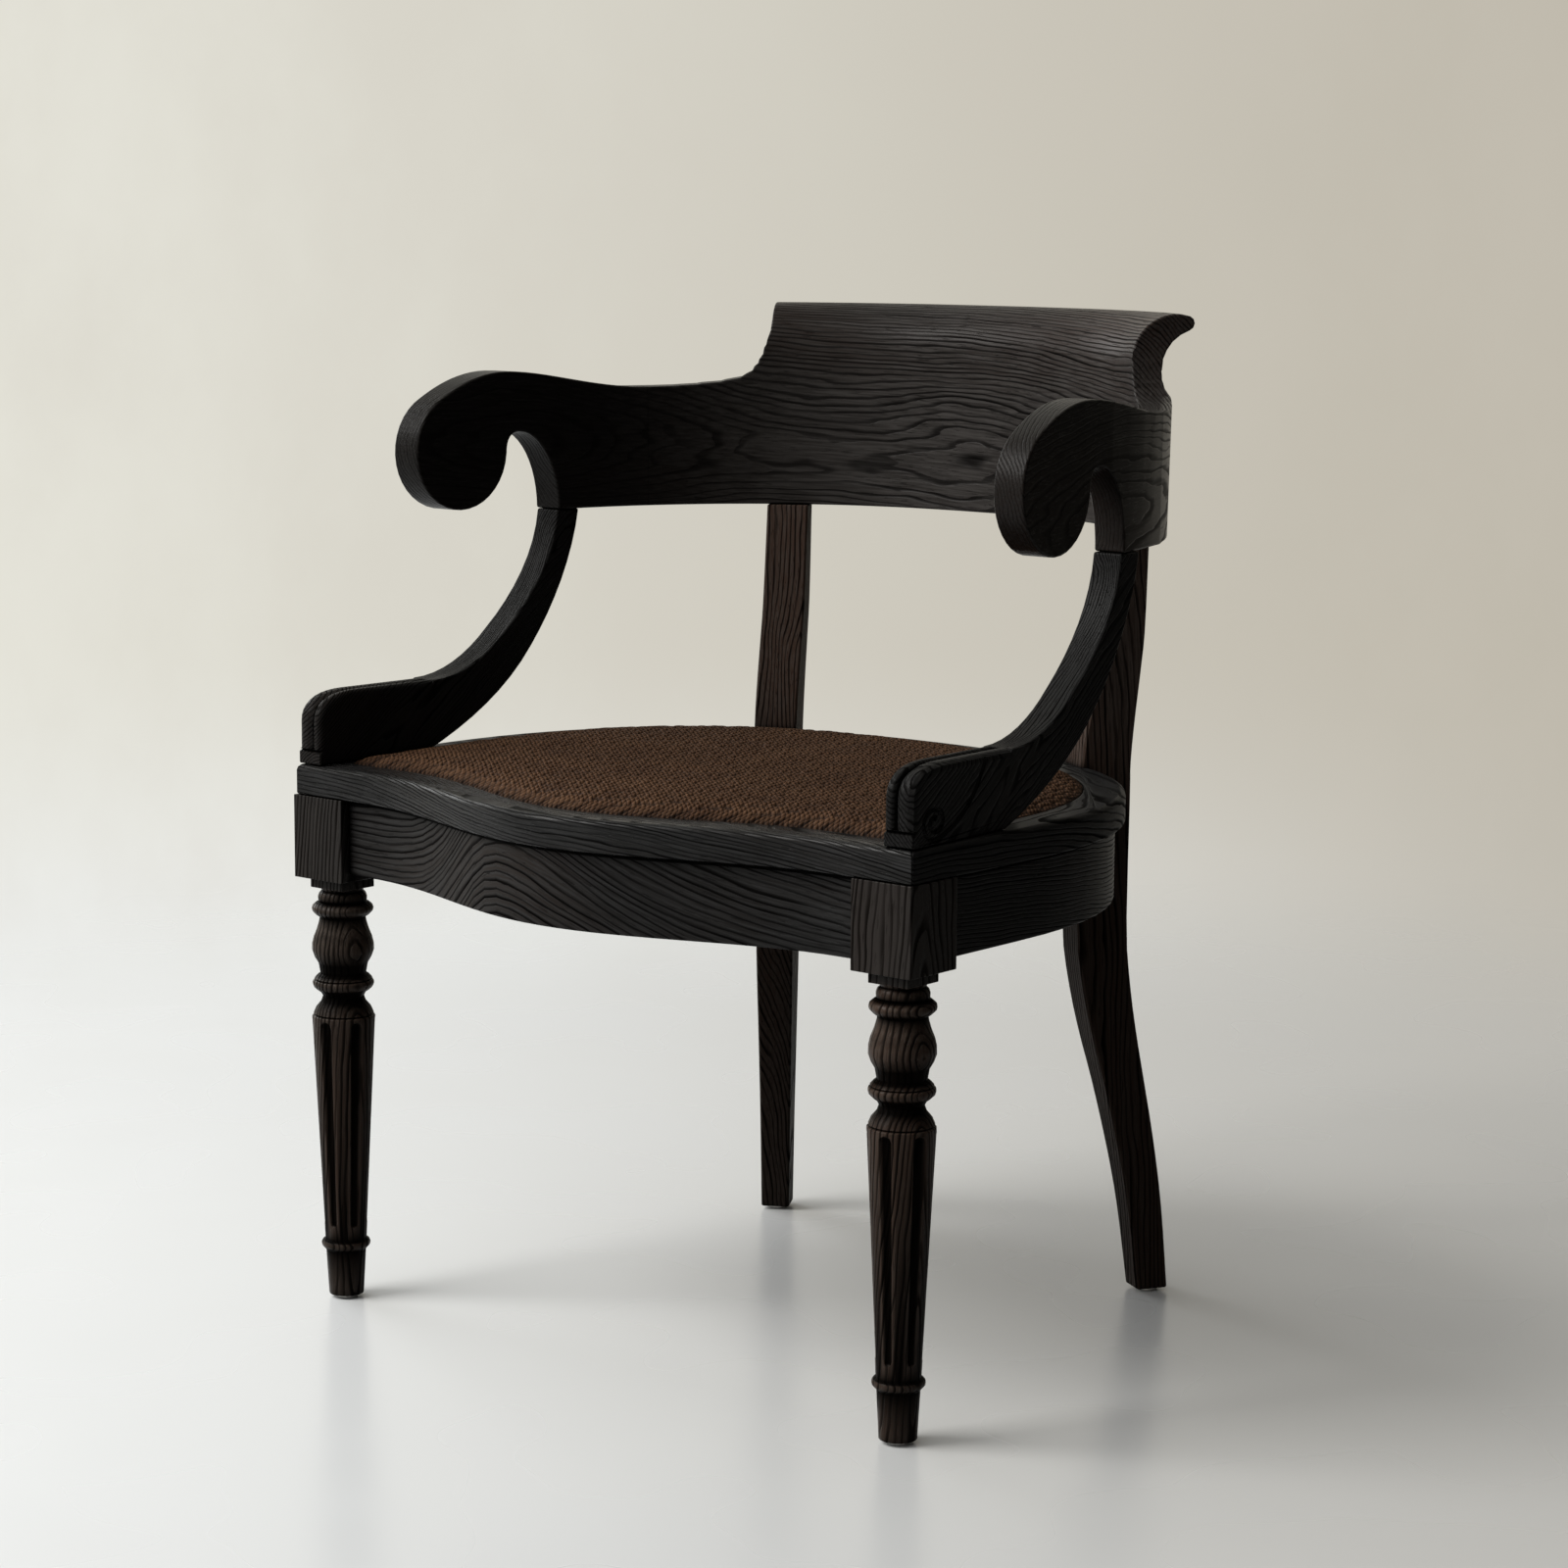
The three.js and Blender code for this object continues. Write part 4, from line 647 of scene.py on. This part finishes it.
def wooden_piece(node, grain, kind, shift=(0, 0, 0), keep_sharp=nowhere):
    wood, offset, tilt, rounding = KINDS[kind]
    mesh = rounded_mesh(copied_mesh(node), rounding, keep_sharp)
    mesh.materials.clear()
    mesh.materials.append(woods[wood])
    write_grain(mesh, grain, [a + b for a, b in zip(offset, shift)], tilt)
    smooth_by_face(mesh)
    piece = bpy.data.objects.new("wood_" + node, mesh)
    scene.collection.objects.link(piece)
    weighted = piece.modifiers.new("flat_faces", "WEIGHTED_NORMAL")
    weighted.keep_sharp = True
    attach(piece, "root")
    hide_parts(node)
    return piece


def plan_centre(node):
    """The middle of a node's box, seen from above."""
    low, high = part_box(node)
    return (low.x + high.x) / 2, (low.y + high.y) / 2


def make_wood():
    for side, sign in SIDES.items():
        shift = (SIDE_SHIFT * sign, 0, 0)
        arm = wooden_piece(f"arm_{side}", yoke_grain, "arm", keep_sharp=at_yoke_joint)
        write_throat_shade(arm.data)
        wooden_piece(f"arm_support_{side}", support_grain, "arm_support", shift)
        wooden_piece(f"side_apron_{side}", seat_bar_grain, "side_apron", shift)
        wooden_piece(f"seat_rim_{side}", seat_bar_grain, "side_rim", shift)
        centre = plan_centre(f"front_leg_{side}")
        leg = wooden_piece(f"front_leg_{side}", upright_grain(centre, 0), "front_leg", shift)
        write_turned_leg_shade(leg.data, centre)
        grain = upright_grain(plan_centre(f"rear_leg_{side}"), sign * REAR_LEG_TURN)
        wooden_piece(f"rear_leg_{side}", grain, "rear_leg",
                     (SIDE_SHIFT * sign, 0, REAR_LEG_SHIFT * sign))
    wooden_piece("front_apron", front_apron_grain, "front_apron")
    wooden_piece("seat_rim_front", front_bar_grain, "front_rim")
    wooden_piece("back_apron", back_ring_grain, "back_apron")
    wooden_piece("seat_rim_back", back_ring_grain, "back_rim")
    wooden_piece("back_panel", yoke_grain, "back_panel", keep_sharp=at_yoke_joint)


# The woven seat: cords that run from front to back and roll over the edge in groups.
SEAT_GAP = 0.0006            # between the rim and the outermost cords
SEAT_INSET = RIM_WIDTH + SEAT_GAP
SEAT_EDGE_HEIGHT = 0.4435
SEAT_BOTTOM = 0.4295
CROWN = 0.0100
CROWN_POWER = 14
CORD_SPACING = 0.0049
CORD_SAMPLES = 9             # points across each cord
CORD_START = 0.1             # keeps every cord's number above zero
CORD_HEIGHT = 0.0021
CORD_DIP = 0.85              # how much of its height a cord loses where it is tied down
BULGE = 0.0005
GROUP = 4                    # cords that go over the edge together
GAP_SPAN = (0.03, 0.15)      # the gap beside a group, in shares of the group's width
GAP_DEPTH = 0.0020
GAP_LEAST = 0.3
FLOAT_LENGTH = 0.0247        # from one crossing strand to the next
FLOAT_STEP = 0.162           # how far each cord's crossings lie beyond its neighbour's
FLOAT_JITTER = 0.20
CROSSING_SPAN = (0.02, 0.20)        # the dip at a crossing, in shares of a float
LOOSE_LEAST = 0.70           # the lowest cord's height beside the highest one's
LOOSE_SPREAD = 0.30
WANDER = 0.0004              # how far a cord strays from its line
WANDER_WAVES = ((41, 67), (-23, 150))
SLANT = 0.05
EDGE_BAND = 0.014            # the rolled edge, where the loops lean
EDGE_START = 0.004
EDGE_LEAN = 0.006
TUCK = 0.005                 # the strip beside the rim where the cords go down
END_SHARE = 0.05             # of the depth, at each end, with its rows close together
END_ROWS = 24
MIDDLE_ROWS = 280
SIDE_POINTS = 60

# How much painted shade each thing puts on the cords.
GAP_SHADE = 0.95
CROSSING_SHADE = 0.75
CREASE_SHADE = 0.9
SUNK_SHADE = 0.9
SUNK_BELOW = 0.85
ROLL_SHADE = 0.15
ROLL_CREASE_SHADE = 0.55
TUCK_SHADE = 0.45


def eased(value, low, high):
    share = np.clip((value - low) / (high - low), 0, 1)
    return share * share * (3 - 2 * share)


SCATTER_STEPS = (12.9898, 78.233)
SCATTER_GAIN = 43758.5453


def scattered(a, b):
    """A repeatable share from 0 to 1 for each pair of whole numbers."""
    value = np.sin(a * SCATTER_STEPS[0] + b * SCATTER_STEPS[1]) * SCATTER_GAIN
    return value - np.floor(value)


def seat_rows():
    """Stations from front to back, close together over both rolled edges."""
    ends = np.linspace(0, END_SHARE, END_ROWS)
    middle = np.linspace(END_SHARE, 1 - END_SHARE, MIDDLE_ROWS)
    return np.concatenate([ends[:-1], middle, 1 - ends[::-1][1:]])


def seat_plan():
    """The columns of the seat, with the front and the back edge at each of them."""
    half = SEAT_HALF_WIDTH - SEAT_INSET
    columns = int(round(2 * half / CORD_SPACING)) * CORD_SAMPLES + 1
    xs = np.linspace(-half, half, columns)
    lead = front_edge(xs * SEAT_HALF_WIDTH / half) + SEAT_INSET
    arch = np.clip(1 - (np.abs(xs) / half) ** SEAT_POWER, 0, 1) ** (1 / SEAT_POWER)
    tail = SEAT_CENTRE_Y + (SEAT_DEPTH_BEHIND - SEAT_INSET) * arch
    return half, xs, lead, tail


def seat_crown(x, y, middle, half, xs, lead, tail):
    """1 over most of the seat, falling to 0 all round its edge."""
    sides = np.linspace(lead[0], tail[0], SIDE_POINTS)
    edge_x = np.concatenate([xs, xs, np.full(SIDE_POINTS, -half), np.full(SIDE_POINTS, half)])
    edge_y = np.concatenate([lead, tail, sides, sides]) - middle
    turns = np.arctan2(edge_y, edge_x)
    order = np.argsort(turns)
    reach = np.interp(np.arctan2(y - middle, x), turns[order],
                      np.hypot(edge_x, edge_y)[order], period=2 * math.pi)
    out = np.hypot(x, y - middle) / reach
    return 1 - np.clip(out, 0, 1) ** CROWN_POWER


def seat_shape():
    """The top of the seat as a grid, with the weave's own coordinates and its painted shade."""
    half, xs, lead, tail = seat_plan()
    y = lead[None, :] + (tail - lead)[None, :] * seat_rows()[:, None]
    x = np.broadcast_to(xs, y.shape)
    middle = (front_edge(0.0) + SEAT_CENTRE_Y + SEAT_DEPTH_BEHIND) / 2
    crown = seat_crown(x, y, middle, half, xs, lead, tail)
    from_front = y - lead[None, :]
    from_back = tail[None, :] - y
    rolled, tucked = (np.maximum(1 - eased(from_front, start, end),
                                 1 - eased(from_back, start, end))
                      for start, end in ((EDGE_START, EDGE_BAND), (0.0, TUCK)))

    lean = EDGE_LEAN * (eased(from_front, 0, EDGE_BAND) - 1) - SLANT * (y - middle)
    for over, along in WANDER_WAVES:
        lean = lean + WANDER * np.sin(over * x + along * y)
    cord = (x + half + CORD_START - lean) / CORD_SPACING
    index = np.floor(cord)
    body = np.sqrt(np.clip(np.cos((cord - index - 0.5) * np.pi), 0, 1))
    part = cord / GROUP - np.floor(cord / GROUP)
    gap = (1 - eased(np.minimum(part, 1 - part), *GAP_SPAN)) * rolled
    floats = y / FLOAT_LENGTH - index * FLOAT_STEP + scattered(index, 0) * FLOAT_JITTER
    loose = LOOSE_LEAST + LOOSE_SPREAD * scattered(index, np.floor(floats))
    from_crossing = np.abs(floats - np.round(floats))
    dip = (1 - eased(from_crossing, *CROSSING_SPAN)) * (1 - rolled)
    bulge = np.sin(np.pi * from_crossing) * (1 - rolled)

    z = SEAT_EDGE_HEIGHT + CROWN * crown
    z = z + CORD_HEIGHT * loose * body * (1 - CORD_DIP * dip) + BULGE * bulge
    z = z - GAP_DEPTH * gap * (GAP_LEAST + crown)
    # Painted shade in the gaps, at the crossings, in the creases, on the lower cords, over the
    # rolled edges and where the cords tuck down beside the rim.
    dark = GAP_SHADE * gap + CROSSING_SHADE * dip + CREASE_SHADE * (1 - body) ** 2
    dark = dark + SUNK_SHADE * (SUNK_BELOW - loose)
    dark = dark + rolled * (ROLL_SHADE + ROLL_CREASE_SHADE * (1 - body)) + TUCK_SHADE * tucked
    top = np.stack([x, y + PLAN_SHIFT, z], -1)
    weave = np.stack([cord, y, np.clip(dark, 0, 1)], -1)
    return top, weave, middle


def make_seat():
    """The grid of cords closed by a skirt and a flat bottom."""
    top, weave, middle = seat_shape()
    rows, columns = top.shape[:2]
    grid = np.arange(rows * columns).reshape(rows, columns)
    rim = np.concatenate([grid[0, :], grid[1:, -1], grid[-1, -2::-1], grid[-2:0:-1, 0]])
    low = top.reshape(-1, 3)[rim].copy()
    low[:, 2] = SEAT_BOTTOM
    quads = np.stack([grid[:-1, :-1], grid[:-1, 1:], grid[1:, 1:], grid[1:, :-1]], -1)
    under = np.arange(len(rim)) + rows * columns
    skirt = np.stack([rim, under, np.roll(under, -1), np.roll(rim, -1)], -1)
    hub = rows * columns + len(rim)
    centre = np.array([[0, middle + PLAN_SHIFT, SEAT_BOTTOM]])
    faces = quads.reshape(-1, 4).tolist() + skirt.tolist()
    faces += [(int(a), hub, int(b)) for a, b in zip(under, np.roll(under, -1))]
    mesh = bpy.data.meshes.new("woven_cord_seat")
    mesh.from_pydata(np.concatenate([top.reshape(-1, 3), low, centre]).tolist(), [], faces)
    for polygon in mesh.polygons:
        polygon.use_smooth = True
    layer = mesh.attributes.new("weave", "FLOAT_VECTOR", "POINT")
    edge_rows = weave.reshape(-1, 3)[rim]
    values = np.concatenate([weave.reshape(-1, 3), edge_rows, np.zeros((1, 3))])
    layer.data.foreach_set("vector", values.astype(np.float32).ravel())
    mesh.materials.append(cord_material())
    piece = bpy.data.objects.new("woven_cord_seat", mesh)
    scene.collection.objects.link(piece)
    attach(piece, "root")
    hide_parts("woven_seat")


TWIST_LENGTH = 0.0046        # along the cord, from one strand to the next
CORD_FIBRES = (1500, 500, 1500)
CORD_PATCHES = 24.0
CORD_PATCH_SPAN = (0.35, 0.68)
CORD_RELIEF = 0.0006
CORD_RELIEF_STRENGTH = 0.9
CORD_FIBRE_RELIEF = 0.4
CORD_BROWN = colour(0.045, 0.020, 0.0095)
CORD_TAN = colour(0.082, 0.040, 0.019)
CORD_PALE = colour(0.125, 0.064, 0.032)
PALE_SHARE = 0.5             # of the palest cord
CORD_WORN = colour(0.18, 0.094, 0.050)
WORN_SPAN = (0.4, 0.75)
WORN_SHARE = 0.5
CORD_CREASE_SHADE = colour(0.014, 0.007, 0.004)
CREASE_SPAN = (0.5, 0.0)
CREASE_SHARE = 0.8
CORD_SHADE_TONE = colour(0.006, 0.003, 0.002)
CORD_SHADE_SHARE = 0.92
CORD_BACK_SHADE = colour(0.030, 0.013, 0.006)
BACK_SHADE_SPAN = (0.00, 0.14, 0.0, 0.36)  # painted shade: the cords grow dimmer towards the back


def cord_material():
    """Two-ply twisted cord: slanting strands, brown with worn lighter fibres, their tops lighter
    than the painted shade in the creases between them.
    """
    g = Graph(bpy.data.materials.new("twisted_cord"))
    place = g.place()
    weave = g.attribute("weave", "Vector")
    cord, along, dark = g.node("ShaderNodeSeparateXYZ", i0=weave).outputs
    side = g.less(g.math("FRACT", cord), 0.5)
    turn = g.add(g.math("DIVIDE", along, TWIST_LENGTH), side)
    strand = g.math("ABSOLUTE", g.math("SINE", g.times(turn, math.pi)))
    fibre = g.stretched(place, CORD_FIBRES)
    patch = g.span(g.noise(place, scale=CORD_PATCHES, detail=3.0), *CORD_PATCH_SPAN)
    fate = g.fate(g.math("FLOOR", cord))
    ground = g.mix(patch, CORD_BROWN, CORD_TAN)
    ground = g.mix(g.times(fate, PALE_SHARE), ground, CORD_PALE)
    ground = g.mix(g.span(along, *BACK_SHADE_SPAN), ground, CORD_BACK_SHADE)
    ground = g.mix(g.times(g.span(fibre, *WORN_SPAN), WORN_SHARE), ground, CORD_WORN)
    # Painted shade in the creases between the strands.
    ground = g.mix(g.times(g.span(strand, *CREASE_SPAN), CREASE_SHARE), ground, CORD_CREASE_SHADE)
    # The weave's painted shade.
    ground = g.mix(g.times(dark, CORD_SHADE_SHARE), ground, CORD_SHADE_TONE)
    height = g.add(strand, g.times(fibre, CORD_FIBRE_RELIEF))
    relief = g.bump(height, CORD_RELIEF, CORD_RELIEF_STRENGTH)
    return g.finish(g.node("ShaderNodeBsdfPrincipled", Base_Color=ground, Roughness=0.75,
                           Specular_IOR_Level=0.1, Normal=relief))


def dress_inner_solids():
    """The hidden solids keep their shapes and take the material of their slot."""
    finishes = {name: woods[name] for name in ("stained_wood", "inner_wood")}
    finishes.update((name, steel_material(name, **looks)) for name, looks in STEELS.items())
    for node in nodes.values():
        for holder in node.material_slots:
            for name, finish in finishes.items():
                if holder.material.name.startswith(name):
                    holder.material = finish
                    break


# The studio. Its tones change from the left to the right of the chair's front view, over the
# spans named aside, and from the wall to its lower part over the span named rise.
# The floor and the wall are painted lighter on the window side at the left and darker to the
# right: painted light and painted shade.
FLOOR_RADIUS = 2.6
FLOOR_FADE = (0.95, 2.3)
FLOOR_ASIDE = (-0.7, 0.9)
FLOOR_LEFT = colour(0.79, 0.805, 0.805)
FLOOR_RIGHT = colour(0.60, 0.59, 0.56)
FLOOR_CLOUD = colour(0.62, 0.62, 0.61)
CLOUD_WAVES = 2.2
CLOUD_SHARE = 0.2
DULL_WAVES = 5.0
DULL_SPAN = (0.3, 0.7, 0.22, 0.30)
FLOOR_UNSEEN = colour(0.17, 0.17, 0.17)
WALL_ASIDE = (-0.30, 0.24)
WALL_LEFT = colour(0.81, 0.80, 0.725)
WALL_RIGHT = colour(0.510, 0.474, 0.400)
LOW_RISE = (-0.11, -0.22)
LOW_ASIDE = (-0.04, 0.24)
LOW_LEFT = colour(0.87, 0.885, 0.87)
LOW_RIGHT = colour(0.50, 0.475, 0.42)
PLASTER_STRETCH = (14, 14, 9)
PLASTER_SPAN = (0.3, 0.7, 0.0, 0.26)
PLASTER = colour(0.60, 0.56, 0.49)
FAR_ASIDE = (0.22, 0.85)
FAR_WALL = colour(0.075, 0.070, 0.060)
WINDOW_HEADING = (-0.66, -0.62, 0.42)
WINDOW_SPAN = (-0.05, 0.95, 0.005, 1.20)
WINDOW_TINT = colour(0.97, 0.985, 1.0)
LAMP_AIM = Vector((0, 0, 0.45))
LAMPS = (("window_light", (-1.55, -2.1, 2.75), 1.8, 92, (1.0, 0.985, 0.96)),
         ("side_light", (-3.2, 0.3, 1.6), 1.6, 26, (0.96, 0.98, 1.0)))


def seen_share(g):
    """1 for what the camera sees, straight or by reflection, and 0 for the light it throws."""
    rays = g.node("ShaderNodeLightPath").outputs
    share = g.most(rays["Is Camera Ray"], rays["Is Glossy Ray"])
    return g.most(share, rays["Is Transmission Ray"])


def floor_material():
    g = Graph(bpy.data.materials.new("studio_floor"))
    place = g.place()
    cloud = g.noise(place, scale=CLOUD_WAVES, detail=5.0)
    # Painted light on the window side of the floor, painted shade towards the right.
    pale = g.mix(g.span(g.dot(place, LEVEL), *FLOOR_ASIDE), FLOOR_LEFT, FLOOR_RIGHT)
    pale = g.mix(g.times(cloud, CLOUD_SHARE), pale, FLOOR_CLOUD)
    shade = g.mix(seen_share(g), FLOOR_UNSEEN, pale)
    dull = g.span(g.noise(place, scale=DULL_WAVES, detail=1.0), *DULL_SPAN)
    surface = g.node("ShaderNodeBsdfPrincipled", Base_Color=shade, Roughness=dull)
    clear = g.node("ShaderNodeBsdfTransparent")
    far = g.node("ShaderNodeVectorMath", {"operation": "LENGTH"}, i0=place).outputs["Value"]
    return g.finish(g.node("ShaderNodeMixShader", i0=g.span(far, *FLOOR_FADE), i1=surface,
                           i2=clear))


def make_world():
    """A pale wall for the camera; a bright window side and a dim far side for the light."""
    g = Graph(bpy.data.worlds.new("studio_world"))
    heading = g.node("ShaderNodeTexCoord").outputs["Generated"]
    aside = g.dot(heading, LEVEL)
    rise = g.node("ShaderNodeSeparateXYZ", i0=heading).outputs["Z"]
    plaster = g.stretched(heading, PLASTER_STRETCH, detail=6.0, roughness=0.6)
    # The wall and its lower part: painted light on the window side, painted shade to the right
    # and on the far wall.
    wall = g.mix(g.span(aside, *WALL_ASIDE), WALL_LEFT, WALL_RIGHT)
    low = g.mix(g.span(aside, *LOW_ASIDE), LOW_LEFT, LOW_RIGHT)
    wall = g.mix(g.span(rise, *LOW_RISE), wall, low)
    wall = g.mix(g.span(plaster, *PLASTER_SPAN), wall, PLASTER)
    wall = g.mix(g.span(aside, *FAR_ASIDE), wall, FAR_WALL)
    seen = g.node("ShaderNodeBackground", Color=wall, Strength=1.0)
    level = g.span(g.dot(heading, WINDOW_HEADING), *WINDOW_SPAN)
    lit = g.node("ShaderNodeBackground", Color=WINDOW_TINT, Strength=level)
    mixer = g.node("ShaderNodeMixShader", i0=seen_share(g), i1=lit, i2=seen)
    scene.world = g.finish(mixer, "ShaderNodeOutputWorld")


def make_studio():
    bpy.ops.mesh.primitive_circle_add(vertices=96, radius=FLOOR_RADIUS, fill_type="NGON",
                                      location=(0, 0, 0))
    floor = bpy.context.object
    floor.name = "studio_floor"
    floor.data.materials.append(floor_material())
    make_world()
    for name, place, size, power, tint in LAMPS:
        lamp = bpy.data.lights.new(name, "AREA")
        lamp.shape = "SQUARE"
        lamp.size = size
        lamp.energy = power
        lamp.color = tint
        holder = bpy.data.objects.new(name, lamp)
        holder.location = place
        aim = LAMP_AIM - Vector(place)
        holder.rotation_euler = aim.to_track_quat("-Z", "Y").to_euler()
        scene.collection.objects.link(holder)


make_camera()
woods = {name: wood_material(name, **looks) for name, looks in WOODS.items()}
make_wood()
make_seat()
dress_inner_solids()
make_studio()
scene.view_settings.view_transform = "Standard"
